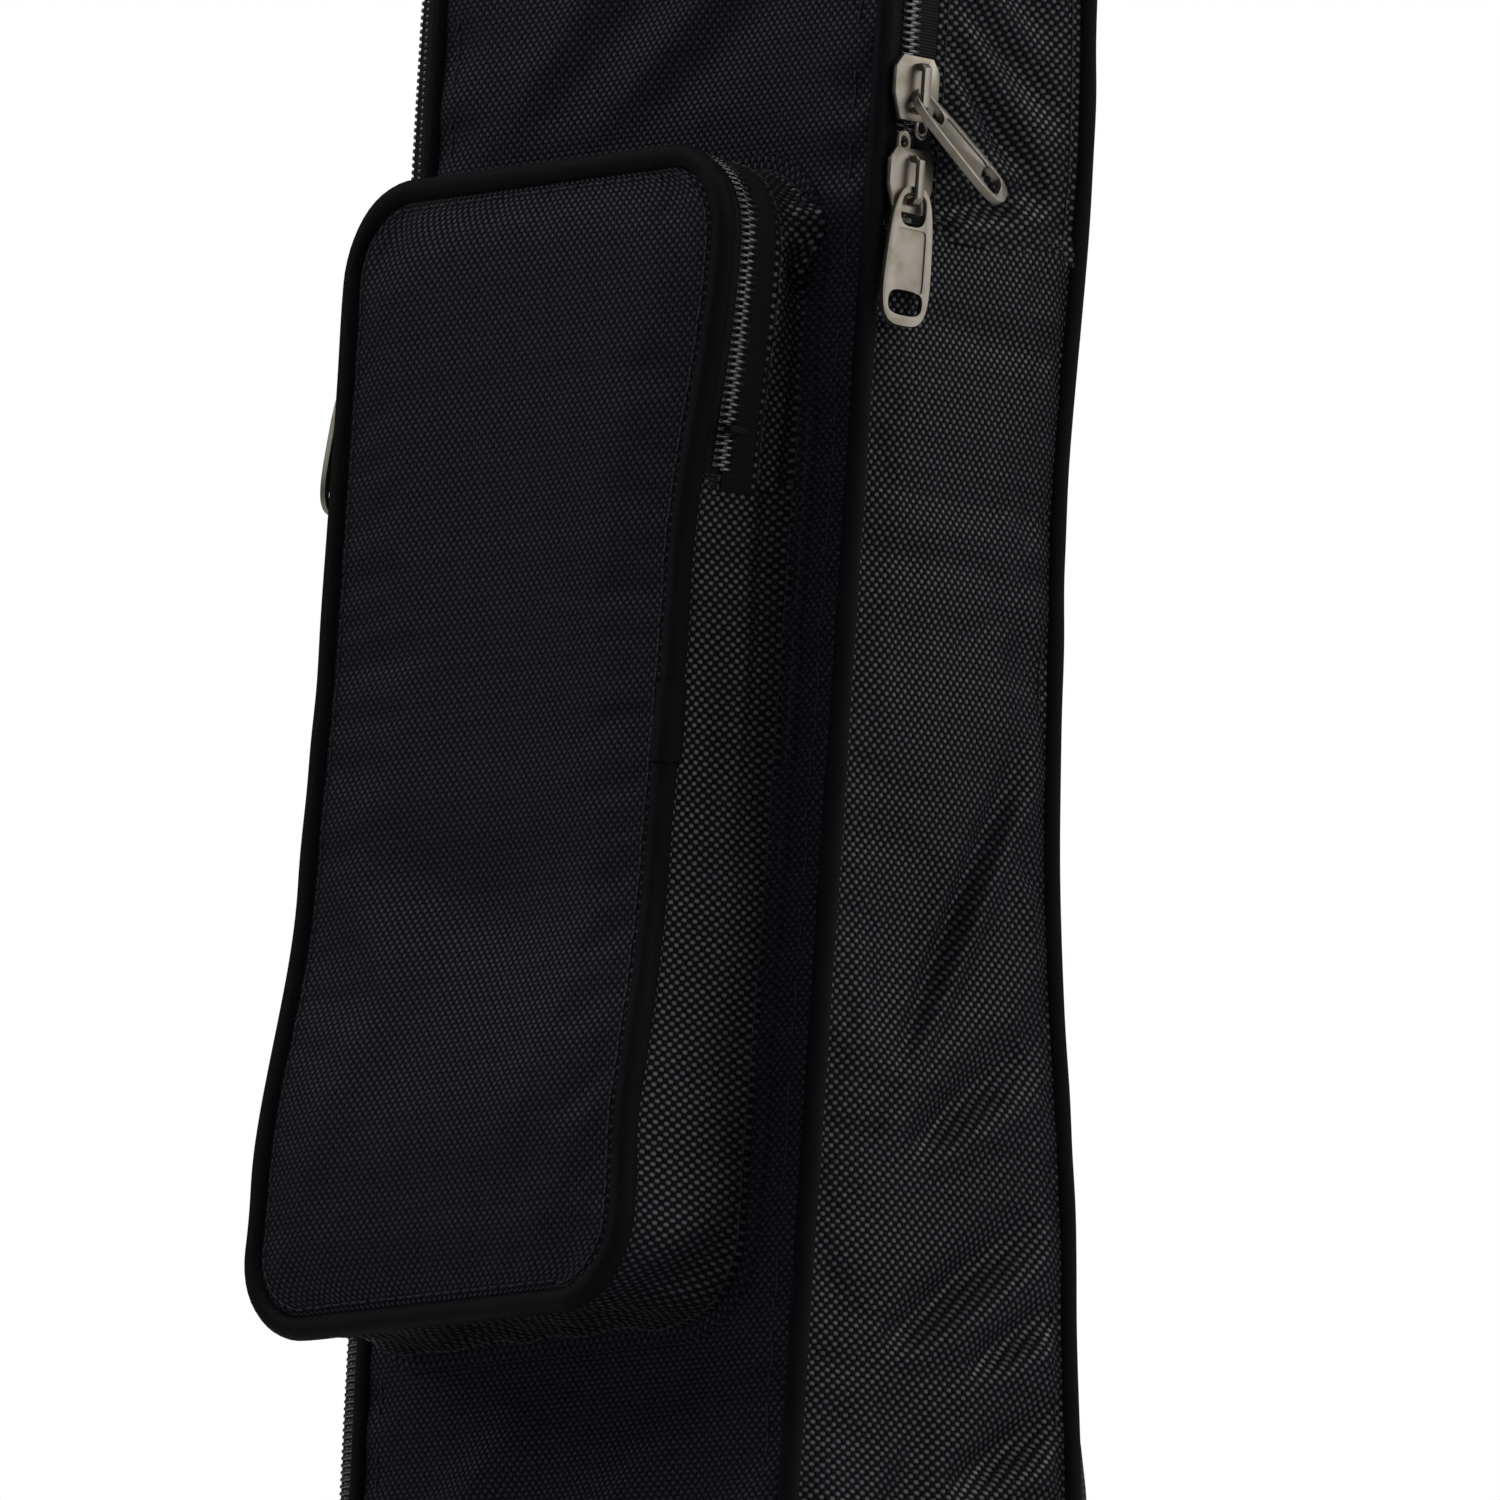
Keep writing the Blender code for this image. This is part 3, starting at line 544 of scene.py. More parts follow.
def right_upper_relief(s, share, z):
    """The right side above the cross seam, lapped over it and pulled into folds where the zip's run ends."""
    above = (z - ZIP_END) / MM
    across = share * 40
    held = ease(share, 0, 0.2) * ease(1 - share, 0, 0.15)
    near = np.exp(-above / 24)
    out = upper_relief(s, share, z) + held * near * 1.1 * MM * ripple(above, across, 4.6, 3.3)
    for start, end, width, deep in (((2, 4), (32, 12), 2.6, 2.4), ((3, 36), (34, 8), 3.2, 2.6),
                                    ((4, 48), (38, 26), 3.6, 2.0), ((2, 66), (36, 40), 4.0, 1.8),
                                    ((10, 92), (38, 60), 4.5, 1.4)):
        out -= held * fold(across, above, start, end, width, deep * MM)
    return out + 0.8 * MM * (1 - ease(z, ZIP_END, ZIP_END + 5 * MM))


SEAM_FOLD = 1.8 * MM
OVER_TOP = BODY.tall + 2 * BODY.bend + BODY.wide
side_lower = gusset("side_wall_right", -BODY.bend, BODY.right_at(ZIP_END) + 0.2 * MM, FRONT + PIPE * 0.8,
                    right_lower_relief, "gusset_right_lower", columns=40, step=1.7 * MM, slack=0.006)
side_upper = gusset("side_wall_right_upper", BODY.right_at(ZIP_END) - SEAM_FOLD, BODY.tall + 0.2 * MM,
                    BEHIND_ZIP - 0.5 * MM, right_upper_relief, "gusset_right_upper", columns=28,
                    step=1.5 * MM)
gusset("top_wall", BODY.tall, OVER_TOP, BEHIND_ZIP - 0.5 * MM, upper_relief, "gusset_top")
side_left = gusset("side_wall_left", OVER_TOP - 0.2 * MM, 2 * BODY.tall + 3 * BODY.bend + BODY.wide,
                   BEHIND_ZIP - 0.5 * MM, upper_relief, "gusset_left", columns=20)

# The two gussets of the right side are joined by a lapped seam with two rows of lockstitch. The same black
# thread sews every seam of the bag.
THREAD_LOOK, tree, shader = new_material("sewing_thread")
tint = tree.noise(tree.add("TexCoord").outputs["Object"], 700.0)
tree.fill(shader, {"Base Color": tree.mix(tint, (0.006, 0.006, 0.007), (0.016, 0.016, 0.018)),
                   "Roughness": 0.6, "Specular IOR Level": 0.25})
STITCH = 2.9 * MM


def lay_copies(name, unit, frames):
    """Copies a modelled unit to each frame and joins the copies; the unit is used up."""
    copies = []
    for place in frames:
        copied = unit.copy()
        copied.data = unit.data.copy()
        copied.data.transform(place)
        bpy.context.scene.collection.objects.link(copied)
        copies.append(copied)
    bpy.data.objects.remove(unit, do_unlink=True)
    alone(copies[0])
    for copied in copies:
        copied.select_set(True)
    bpy.ops.object.join()
    joined = bpy.context.object
    joined.name = joined.data.name = name
    return smooth(joined, 70)


def frame_at(place, forward, out):
    """A matrix whose X runs forward and whose Z points out of the surface."""
    forward, out = Vector(forward).normalized(), Vector(out).normalized()
    side = out.cross(forward).normalized()
    out = forward.cross(side)
    turned = Matrix((forward, side, out)).transposed().to_4x4()
    turned.translation = Vector(place)
    return turned


def stitch_row(name, body, line, cloths, pitch=STITCH):
    """A row of lockstitch along a line, each stitch laid on the nearest cloth."""
    bpy.ops.object.select_all(action="DESELECT")
    bpy.ops.mesh.primitive_cylinder_add(vertices=6, radius=0.24 * MM, depth=pitch * 0.74,
                                        rotation=(0, math.pi / 2, 0))
    unit = bpy.context.object
    bpy.ops.object.transform_apply(location=True, rotation=True, scale=True)
    apply_modifier(unit, "BEVEL", width=0.12 * MM, segments=1, limit_method="ANGLE",
                   angle_limit=math.radians(70))
    line = np.asarray(line, float)
    reach = np.concatenate(([0], np.cumsum(np.linalg.norm(np.diff(line, axis=0), axis=1))))
    spots = np.arange(pitch / 2, reach[-1], pitch)
    along = np.column_stack([np.interp(spots, reach, line[:, axis]) for axis in range(3)])
    laid = []
    for spot in along:
        found = [cloth.closest_point_on_mesh(Vector(spot))[1:3] for cloth in cloths]
        laid.append(min(found, key=lambda hit: (hit[0] - Vector(spot)).length))
    frames = []
    for index, (place, normal) in enumerate(laid):
        ahead = laid[min(index + 1, len(laid) - 1)][0] - laid[max(index - 1, 0)][0]
        frames.append(frame_at(place + normal * 0.10 * MM, ahead, normal))
    row = lay_copies(name, unit, frames)
    return wear_on(row, body, None, THREAD_LOOK)


def body_line(start, end, y, count, out=0.0):
    """Points along the body's rim, at y(z), after the bag has sagged."""
    x, z = BODY.at(np.linspace(start, end, count), out)[:2]
    return np.column_stack(sag(x, y(z), z))


for row, lift in enumerate((1.2 * MM, 4.0 * MM)):
    lap = np.linspace(BEHIND_ZIP + 0.5 * MM, back_y(ZIP_END) - 3 * MM, 30)
    lap_line = sag(np.full(30, RIGHT + MM), lap, np.full(30, ZIP_END - SEAM_FOLD + lift))
    stitch_row(f"lap_seam_{row}", "case", np.column_stack(lap_line), [side_upper])

# --- the base -------------------------------------------------------------------------------------
# A stiffened panel under the bag: the same cloth over a board, with turned edges and two rows of stitches.
def copy_of(node, name, edge=0.0):
    """A merged copy of a CAD node whose form is right, with rounded edges and a UV map in metres."""
    copied = bpy.data.objects.new(name, frame["nodes"][node].data.copy())
    bpy.context.scene.collection.objects.link(copied)
    edit_all(copied)
    bpy.ops.mesh.remove_doubles(threshold=0.005 * MM)
    bpy.ops.mesh.dissolve_limited(angle_limit=math.radians(1))
    bpy.ops.object.mode_set(mode="OBJECT")
    if edge:
        apply_modifier(copied, "BEVEL", width=edge, segments=3, limit_method="ANGLE",
                       angle_limit=math.radians(30))
    edit_all(copied)
    bpy.ops.uv.cube_project(cube_size=1.0)
    bpy.ops.object.mode_set(mode="OBJECT")
    return smooth(copied, 35)


base = copy_of("base_panel", "base_wall", 0.9 * MM)
wear_on(base, "case", "oxford_cloth", SIDE_CLOTH, "base_panel")
base_low, base_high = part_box("base_panel")
for row, y in enumerate((base_low.y + 4 * MM, base_high.y - 4 * MM)):
    border = np.column_stack((np.linspace(base_low.x + 4 * MM, base_high.x - 4 * MM, 40), np.full(40, y),
                              np.full(40, base_low.z)))
    stitch_row(f"base_stitches_{row}", "case", border, [base])

# --- the back -------------------------------------------------------------------------------------
# Cloth over a sheet of foam, with a lining inside. It lies against the wall or the player's back, and the
# strap presses its padding flat.
def panel_sheet(name, rim, inset, y_at, step, side, relief=None, pressure=0.0, slack=0.0, cap=0.0,
                thickness=1.0 * MM, warp=sag):
    """A sheet inside a rim at y = y_at(z), facing side: relief(x, z, edge) lifts it, pressure settles it."""
    radius = rim.radius - inset
    wide, tall = rim.wide + 2 * radius, rim.tall + 2 * radius
    mid_x, low_z = (rim.centres[0][0] + rim.centres[1][0]) / 2, rim.foot - radius

    def surface(u, v):
        x, z = (u - 0.5) * wide, v * tall
        near_end = np.minimum(z, tall - z)
        drawn = radius - np.sqrt(np.maximum(radius ** 2 - (radius - np.minimum(near_end, radius)) ** 2, 0))
        x = x * (wide / 2 - drawn) / (wide / 2)
        edge = np.maximum(np.minimum(wide / 2 - drawn - np.abs(x), near_end), 0)
        lift = relief(mid_x + x, low_z + z, edge) if relief else 0.0
        return mid_x + x, y_at(low_z + z) + side * lift, low_z + z

    sheet = cloth_sheet(name, int(wide / step), int(tall / step), (wide, tall), surface)
    face_away(sheet, Vector((mid_x, y_at(low_z + tall / 2) - side, low_z + tall / 2)))
    if pressure:
        settle(sheet, pressure, slack, cap)
    warped(sheet, warp)
    apply_modifier(sheet, "SOLIDIFY", thickness=thickness, offset=-1.0)
    if pressure:
        apply_modifier(sheet, "SUBSURF", levels=1, render_levels=1)
    return smooth(sheet)


def back_relief(x, z, edge):
    """The padded back: nearly flat, with faint waves and gathers at the seam."""
    held = 1 - np.exp(-edge / (7 * MM))
    return held * (0.5 * MM + 0.3 * MM * ripple(x, z, 22 * MM, 0.9))


PANEL_EDGE = PIPE * 0.7 + INSET
foam_low, foam_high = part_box("cover_foam")
lining_low, lining_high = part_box("cover_lining")
FOAM_THICK, FOAM_FACE = foam_high.y - foam_low.y, foam_low.y - FRONT
LINING_THICK, LINING_FACE = lining_high.y - lining_low.y, lining_low.y - FRONT
FOAM_EDGE, LINING_EDGE = RIGHT - foam_high.x, RIGHT - lining_high.x

back = panel_sheet("back_wall", BODY, PANEL_EDGE, back_y, 3.2 * MM, 1, back_relief, pressure=2.0,
                   slack=0.004, cap=1.2 * MM)
strap_low, strap_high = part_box("strap_webbing")
spots = points_of(back)
facing = np.empty(spots.size)
back.data.vertices.foreach_get("normal", facing)
flat_y = back_y(spots[:, 2]) + np.where(facing[1::3] > 0, 0.4 * MM, -0.6 * MM)
under_strap = ease(spots[:, 0], strap_low.x - 9 * MM, strap_low.x - MM)
under_strap *= 1 - ease(spots[:, 0], strap_high.x + 0.5 * MM, RIGHT - 2 * MM)
spots[:, 1] -= under_strap * np.maximum(spots[:, 1] - flat_y, 0)
put_points(back, spots)
wear_on(back, "case", "oxford_cloth", SIDE_CLOTH, "back_panel")

LINING = woven_material("lining_cloth", 0.45 * MM, deep=(0.016, 0.016, 0.018), crown=(0.034, 0.034, 0.038),
                        relief=0.1 * MM, shine=0.3, gloss=0.5, upright=0.8)
FOAM, tree, shader = new_material("foam")
cells = tree.add("TexVoronoi", {"Vector": tree.add("TexCoord").outputs["Object"], "Scale": 1400.0})
cells = cells.outputs["Distance"]
tree.fill(shader, {"Base Color": tree.mix(cells, (0.045, 0.045, 0.048), (0.075, 0.075, 0.080)),
                   "Roughness": 0.95, "Normal": tree.bump(cells, 0.6, 0.2 * MM)})


def lining_relief(x, z, edge):
    """Lining lies a little loose over its foam."""
    return (1 - np.exp(-edge / (5 * MM))) * (0.25 * MM + 0.22 * MM * ripple(x, z, 12 * MM, 3.7))


def foam_and_lining(which, y_at, side, body, warp):
    """The foam and the lining behind one panel."""
    foam = panel_sheet(which + "_foam_sheet", BODY, FOAM_EDGE, lambda z: y_at(z) - side * FOAM_FACE,
                       6 * MM, side, thickness=FOAM_THICK, warp=warp)
    wear_on(foam, body, "foam", FOAM, which + "_foam")
    lining = panel_sheet(which + "_lining_sheet", BODY, LINING_EDGE, lambda z: y_at(z) - side * LINING_FACE,
                         5 * MM, side, lambda x, z, edge: -lining_relief(x, z, edge),
                         thickness=LINING_THICK, warp=warp)
    wear_on(lining, body, "lining_cloth", LINING, which + "_lining")


foam_and_lining("back", back_y, 1, "case", sag)

# A sleeve of lining cloth on the back wall: sewn down the middle and at both edges, open at the top.
sleeve_low, sleeve_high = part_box("stick_sleeve")
SLEEVE_WIDE, SLEEVE_TALL = sleeve_high.x - sleeve_low.x, sleeve_high.z - sleeve_low.z


def sleeve_surface(u, v):
    """Two rounded channels that close at their foot."""
    x = sleeve_low.x + SLEEVE_WIDE * u
    z = sleeve_low.z + SLEEVE_TALL * v
    rear = back_y(z) - LINING_FACE - LINING_THICK - 1.2 * MM
    open_share = np.abs(np.sin(2 * math.pi * u)) ** 0.32 * ease(v, -0.02, 0.07)
    sway = 0.5 * MM * ripple(x, z, 11 * MM, 1.3) * np.abs(np.sin(2 * math.pi * u))
    return x, rear - (rear - sleeve_low.y - 1.2 * MM) * open_share + sway, z


sleeve = cloth_sheet("stick_sleeve_cloth", 56, 70, (SLEEVE_WIDE, SLEEVE_TALL), sleeve_surface)
face_away(sleeve, Vector((0, 1, sleeve_low.z + 0.1)))
apply_modifier(sleeve, "SOLIDIFY", thickness=0.8 * MM, offset=-1.0)
wear_on(smooth(sleeve), "case", "lining_cloth", LINING, "stick_sleeve")

# --- the piping -----------------------------------------------------------------------------------
# A round cord wrapped in a bias-cut strip of matt cloth. One length runs round the front, one round the back
# and one round the pocket, each sewn into its seam.
def twill_group():
    """Fine slanting ribs, as bias-cut binding has."""
    group, start, end = new_group("twill", [("Vector", "Vector"), ("Ribs", "Float"), ("Slant", "Float")],
                                  [("Height", "Float"), ("Rib", "Float")])
    tree = Tree(group)
    axes = tree.add("SeparateXYZ", {0: start.outputs["Vector"]})
    across = tree.math("MULTIPLY", axes.outputs[0], start.outputs["Slant"])
    walk = tree.math("MULTIPLY", tree.math("ADD", across, axes.outputs[1]), start.outputs["Ribs"])
    rib = tree.math("SINE", tree.math("MULTIPLY", walk, 2 * math.pi))
    rib = tree.math("MULTIPLY_ADD", rib, 0.5, 0.5)
    fray = tree.noise(start.outputs["Vector"], 2600.0)
    tree.fill(end, {"Height": tree.math("MULTIPLY_ADD", fray, 0.7, rib), "Rib": rib})
    return group


TWILL = twill_group()


def ribbed_material(name, colour, lift, ribs, slant, rough, relief, specular=0.3):
    """Matt cloth with fine ribs on the piece's own UV map; lift is a lighter colour painted on each rib's
    crown as a highlight.
    """
    made, tree, shader = new_material(name)
    place = tree.add("UVMap").outputs[0]
    weave = tree.place(TWILL, {"Vector": place, "Ribs": ribs, "Slant": slant})
    worn = tree.place(RUBBED, {"Vector": place, "Scale": 30.0})["Amount"]
    # Painted highlight: each rib's crown takes the lighter lift colour.
    body = tree.mix(tree.math("MULTIPLY", weave["Rib"], 0.6), colour, lift)
    tree.fill(shader, {
        "Base Color": tree.mix(tree.math("MULTIPLY", worn, 0.5), body, lift),
        "Roughness": tree.between(weave["Height"], min(1.0, rough + 0.1), rough),
        "Specular IOR Level": specular,
        "Normal": tree.bump(weave["Height"], 0.8, relief),
    })
    return made


BINDING = ribbed_material("piping_cloth", colour=(0.0017, 0.0016, 0.0023), lift=(0.0044, 0.0041, 0.0056),
                          ribs=1400.0, slant=1.0, rough=0.62, relief=0.12 * MM, specular=0.06)


def flat_at(y):
    """The same y at every height."""
    return lambda z: y + 0 * z


def cord_tube(name, rim, start, end, y_at, radius=PIPE, step=2.2 * MM, warp=sag):
    """A slightly uneven tube along a rim; a whole turn closes on itself, and a shorter one is capped."""
    rows = int((end - start) / step)

    def surface(u, v):
        s = start + (end - start) * v
        angle = -2 * math.pi * u
        x, z, nx, nz = rim.at(s)
        r = radius * (1 + 0.03 * np.sin(s / (6 * MM) + 2 * np.sin(s / (17 * MM))))
        out = -INSET + r * np.cos(angle)
        y = y_at(z) + r * np.sin(angle)
        return x + nx * out, y, z + nz * out

    tube = cloth_sheet(name, 16, rows, (2 * math.pi * radius, end - start), surface)
    edit_all(tube)
    bpy.ops.mesh.remove_doubles(threshold=0.02 * MM)
    if end - start < rim.total - MM:
        bpy.ops.mesh.select_all(action="DESELECT")
        bpy.ops.mesh.select_non_manifold()
        bpy.ops.mesh.edge_face_add()
        bpy.ops.mesh.select_all(action="SELECT")
    bpy.ops.mesh.normals_make_consistent(inside=False)
    bpy.ops.object.mode_set(mode="OBJECT")
    return smooth(warped(tube, warp))


front_cord = cord_tube("front_piping", BODY, 0.0, BODY.total, flat_at(FRONT))
wear_on(front_cord, "cover", "piping_cloth", BINDING, "cover_piping")
rear_cord = cord_tube("rear_piping", BODY, 0.0, BODY.total, back_y)
wear_on(rear_cord, "case", "piping_cloth", BINDING, "back_piping")
for name, start, end, count, wall in (
    ("back_seam", -BODY.bend, BODY.right_at(ZIP_END) - 3 * MM, 120, side_lower),
    ("back_seam_upper", BODY.right_at(ZIP_END), BODY.tall, 60, side_upper),
    ("back_seam_left", BODY.left_at(TOP - BEND), BODY.left_at(BOTTOM + BEND), 120, side_left),
):
    seam_line = body_line(start, end, lambda z: back_y(z) - 4.2 * MM, count)
    stitch_row(name, "case", seam_line, [wall])

# --- the main zip ---------------------------------------------------------------------------------
# Two woven tapes, each with a nylon coil sewn along its edge. The turns of one side lock between the turns of
# the other. It runs up the right side from its end stop, over the top, down the left side and along the
# bottom.
TOOTH_PITCH = 1.43 * MM
TOOTH_LIFT = 0.75 * MM
ZIP_SUNK = 0.35 * MM
COIL_MIDDLE = (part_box("zip_coil_front")[1].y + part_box("zip_coil_rear")[0].y) / 2 - FRONT
TAPE_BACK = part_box("zip_tape_rear")[1].y - FRONT

TAPE = ribbed_material("zip_tape", colour=(0.0022, 0.0022, 0.0026), lift=(0.006, 0.006, 0.007), ribs=1600.0,
                       slant=0.0, rough=0.72, relief=0.15 * MM, specular=0.11)

COIL, tree, shader = new_material("zip_coil")
place = tree.add("TexCoord").outputs["Object"]
worn = tree.place(RUBBED, {"Vector": place, "Scale": 120.0})["Amount"]
tree.fill(shader, {"Base Color": tree.mix(worn, (0.0060, 0.0060, 0.0066), (0.020, 0.020, 0.022)),
                   "Specular IOR Level": 0.9, "Roughness": tree.between(worn, 0.20, 0.36),
                   "Normal": tree.bump(tree.noise(place, 3000.0), 0.3, 0.05 * MM)})


def tooth_unit():
    """One turn of the coil: a bar from the tape to a bulging head that locks past the zip's middle."""
    bpy.ops.object.select_all(action="DESELECT")
    bpy.ops.mesh.primitive_cylinder_add(vertices=7, radius=0.43 * MM, depth=2.9 * MM,
                                        location=(0, 0.85 * MM, TOOTH_LIFT), rotation=(math.pi / 2, 0, 0))
    unit = bpy.context.object
    bpy.ops.object.transform_apply(location=True, rotation=True, scale=True)
    for vertex in unit.data.vertices:
        if vertex.co.y < 0:
            vertex.co.x *= 1.3
            vertex.co.z = 0.60 * MM + (vertex.co.z - TOOTH_LIFT) * 1.15
        else:
            vertex.co.z -= 0.35 * MM
    apply_modifier(unit, "BEVEL", width=0.22 * MM, segments=1, limit_method="ANGLE")
    return unit


def coil_row(name, rim, start, end, y, side, warp):
    """Half a zip's coil: a tooth every pitch; the two halves are half a pitch apart."""
    first = start + (0.0 if side > 0 else TOOTH_PITCH / 2)
    frames = []
    for s in np.arange(first, end - TOOTH_PITCH / 2, TOOTH_PITCH):
        x, z, nx, nz = (float(value[0]) for value in rim.at(np.array([s]), -ZIP_SUNK))
        out = Vector((nx, 0, nz))
        across = Vector((0, side, 0))
        turned = Matrix((across.cross(out), across, out)).transposed().to_4x4()
        turned.translation = (x, y, z)
        frames.append(turned)
    return warped(lay_copies(name, tooth_unit(), frames), warp)


def tape_strip(name, rim, start, end, near, far, warp):
    """A flat woven tape between two distances along Y."""
    rows = max(4, int((end - start) / (3.5 * MM)))

    def surface(u, v):
        s = start + (end - start) * v
        x, z, nx, nz = rim.at(s)
        lift = -ZIP_SUNK + 0.12 * MM * np.sin(s / (9 * MM)) * np.sin(np.pi * u)
        return x + nx * lift, near + (far - near) * u, z + nz * lift

    strip = cloth_sheet(name, 5, rows, (abs(far - near), end - start), surface)
    face_away(strip, Vector((0, near, rim.foot + rim.tall / 2)))
    apply_modifier(strip, "SOLIDIFY", thickness=0.6 * MM, offset=0.0)
    return smooth(warped(strip, warp))


def zip_half(zip_name, nodes, side, rim, start, end, front, body, warp, tuck):
    """One side of a zip, its tape and its coil; tuck is how far the tape runs on under the cloth."""
    middle = front + COIL_MIDDLE
    if side == "rear":
        near, far = middle + 0.4 * MM, front + TAPE_BACK + MM
    else:
        near, far = front + PIPE * 0.7, middle - 0.4 * MM
    strip = tape_strip(f"{zip_name}_{side}_tape", rim, start - tuck, end, near, far, warp)
    wear_on(strip, body, "zip_tape", TAPE, f"{nodes}_tape_{side}")
    facing = 1 if side == "rear" else -1
    teeth = coil_row(f"{zip_name}_{side}_coil", rim, start, end, middle, facing, warp)
    wear_on(teeth, body, "zip_coil", COIL, f"{nodes}_coil_{side}")


zip_start, zip_end = BODY.right_at(ZIP_END) + 2 * MM, BODY.total - BODY.bend
for side, start, end, body, tuck in (
    ("rear", zip_start, zip_end, "case", 5 * MM),
    ("front_right", zip_start, BODY.tall, "case", 5 * MM),
    ("front", BODY.tall + 0.1 * BODY.bend, zip_end, "cover", 0.0),
):
    zip_half("main_zip", "zip", side, BODY, start, end, FRONT, body, sag, tuck)
for side, start, end, count, wall in (
    ("right", BODY.right_at(ZIP_END) - MM, BODY.tall, 60, side_upper),
    ("left", BODY.left_at(TOP - BEND), BODY.left_at(BOTTOM + BEND), 120, side_left),
):
    seam_line = body_line(start, end, flat_at(BEHIND_ZIP + 1.4 * MM), count, 0.6 * MM)
    stitch_row("zip_seam_" + side, "case", seam_line, [wall])
for row in range(3):
    tack = np.column_stack((np.full(12, RIGHT + MM), np.linspace(FRONT + PIPE, BEHIND_ZIP - MM, 12),
                            np.full(12, ZIP_END - (0.6 + 0.9 * row) * MM)))
    stitch_row(f"zip_end_tack_{row}", "case", tack, [side_lower], pitch=1.5 * MM)

# --- the sliders and pullers ----------------------------------------------------------------------
# Die-cast zinc, nickel plated with a warm tint. The slider has a shield plate and a bridge; the flat puller
# hangs from the bridge's leg and has a recessed panel and a rounded window.
NICKEL, tree, shader = new_material("nickel")
place = tree.add("TexCoord").outputs["Object"]
cloud = tree.noise(place, 260.0, 4.0)
# Painted reflection: the golden patches in the plate's colour stand for warm surroundings reflected in it.
gold_reflection = tree.between(cloud, 0.0, 1.0, 0.52, 0.75)
tree.fill(shader, {"Base Color": tree.mix(gold_reflection, (0.205, 0.188, 0.160), (0.185, 0.150, 0.092)),
                   "Metallic": 1.0, "Roughness": tree.between(cloud, 0.34, 0.46, 0.3, 0.7),
                   "Normal": tree.bump(tree.noise(place, 5200.0), 0.25, 0.03 * MM)})

for body, node in (("lower_slider", "main_slider_lower"), ("upper_slider", "main_slider_upper"),
                   ("pocket_slider", "pocket_slider")):
    wear_on(copy_of(node, node + "_cast", 0.30 * MM), body, "nickel", NICKEL, node)
wear_on(copy_of("zip_stop_right", "zip_end_stop", 0.4 * MM), "case", "nickel", NICKEL, "zip_stop_right")

# Each main slider has a small loop at its nose, so that a padlock can join the pair.
for body, node, end, side in (("lower_slider", "main_slider_lower", 1, -1),
                              ("upper_slider", "main_slider_upper", -1, 1)):
    low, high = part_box(node)
    nose = high.z if end > 0 else low.z
    bpy.ops.object.select_all(action="DESELECT")
    bpy.ops.mesh.primitive_torus_add(major_segments=28, minor_segments=10, major_radius=1.30 * MM,
                                     minor_radius=0.55 * MM, rotation=(0, math.pi / 2, 0))
    loop = bpy.context.object
    bpy.ops.object.transform_apply(location=False, rotation=True, scale=True)
    for vertex in loop.data.vertices:
        vertex.co.z *= 1.25 if vertex.co.z * end > 0 else 1.6
        vertex.co.x *= 0.85
    loop.data.transform(Matrix.Translation((RIGHT + 2.6 * MM, (low.y + high.y) / 2 + side * 2.1 * MM,
                                            nose + end * 1.2 * MM)))
    loop.name = loop.data.name = node + "_loop"
    wear_on(smooth(loop), body, "nickel", NICKEL)

PULLER_LONG = 28.0 * MM
PULLER_WIDE = 11.6 * MM
PULLER_THICK = 1.5 * MM
PULLER_TOP = 0.65 * MM
HOLE_HALF = (2.9 * MM, 3.4 * MM)
WINDOW_HALF = (3.9 * MM, 2.6 * MM)
PANEL_HALF = (3.7 * MM, 6.3 * MM)
PANEL_DEEP = 0.38 * MM


def plate(name, outline, thickness, points):
    """A flat plate from outline(angle) -> (y, z), standing in the YZ plane."""
    bpy.ops.object.select_all(action="DESELECT")
    bpy.ops.mesh.primitive_circle_add(vertices=points, radius=1.0, fill_type="NGON")
    made = bpy.context.object
    made.name = made.data.name = name
    for index, vertex in enumerate(made.data.vertices):
        y, z = outline(2 * math.pi * index / points)
        vertex.co = (-thickness / 2, y, z)
    edit_all(made)
    bpy.ops.mesh.extrude_region_move(TRANSFORM_OT_translate={"value": (thickness, 0, 0)})
    bpy.ops.mesh.select_all(action="SELECT")
    bpy.ops.mesh.normals_make_consistent(inside=False)
    bpy.ops.object.mode_set(mode="OBJECT")
    return made


def oblong(half_y, half_z, power, middle, taper=0.0):
    """A rounded oblong outline, squarer at a higher power; taper narrows its upper end."""
    def outline(angle):
        c, s = math.cos(angle), math.sin(angle)
        y = half_y * math.copysign(abs(c) ** (2 / power), c)
        z = half_z * math.copysign(abs(s) ** (2 / power), s)
        return y * (1 - taper * (z / half_z + 1) / 2), middle + z
    return outline


def carve(obj, cutter):
    """Cuts one shape out of another."""
    apply_modifier(obj, "BOOLEAN", operation="DIFFERENCE", solver="EXACT", object=cutter)
    bpy.data.objects.remove(cutter, do_unlink=True)


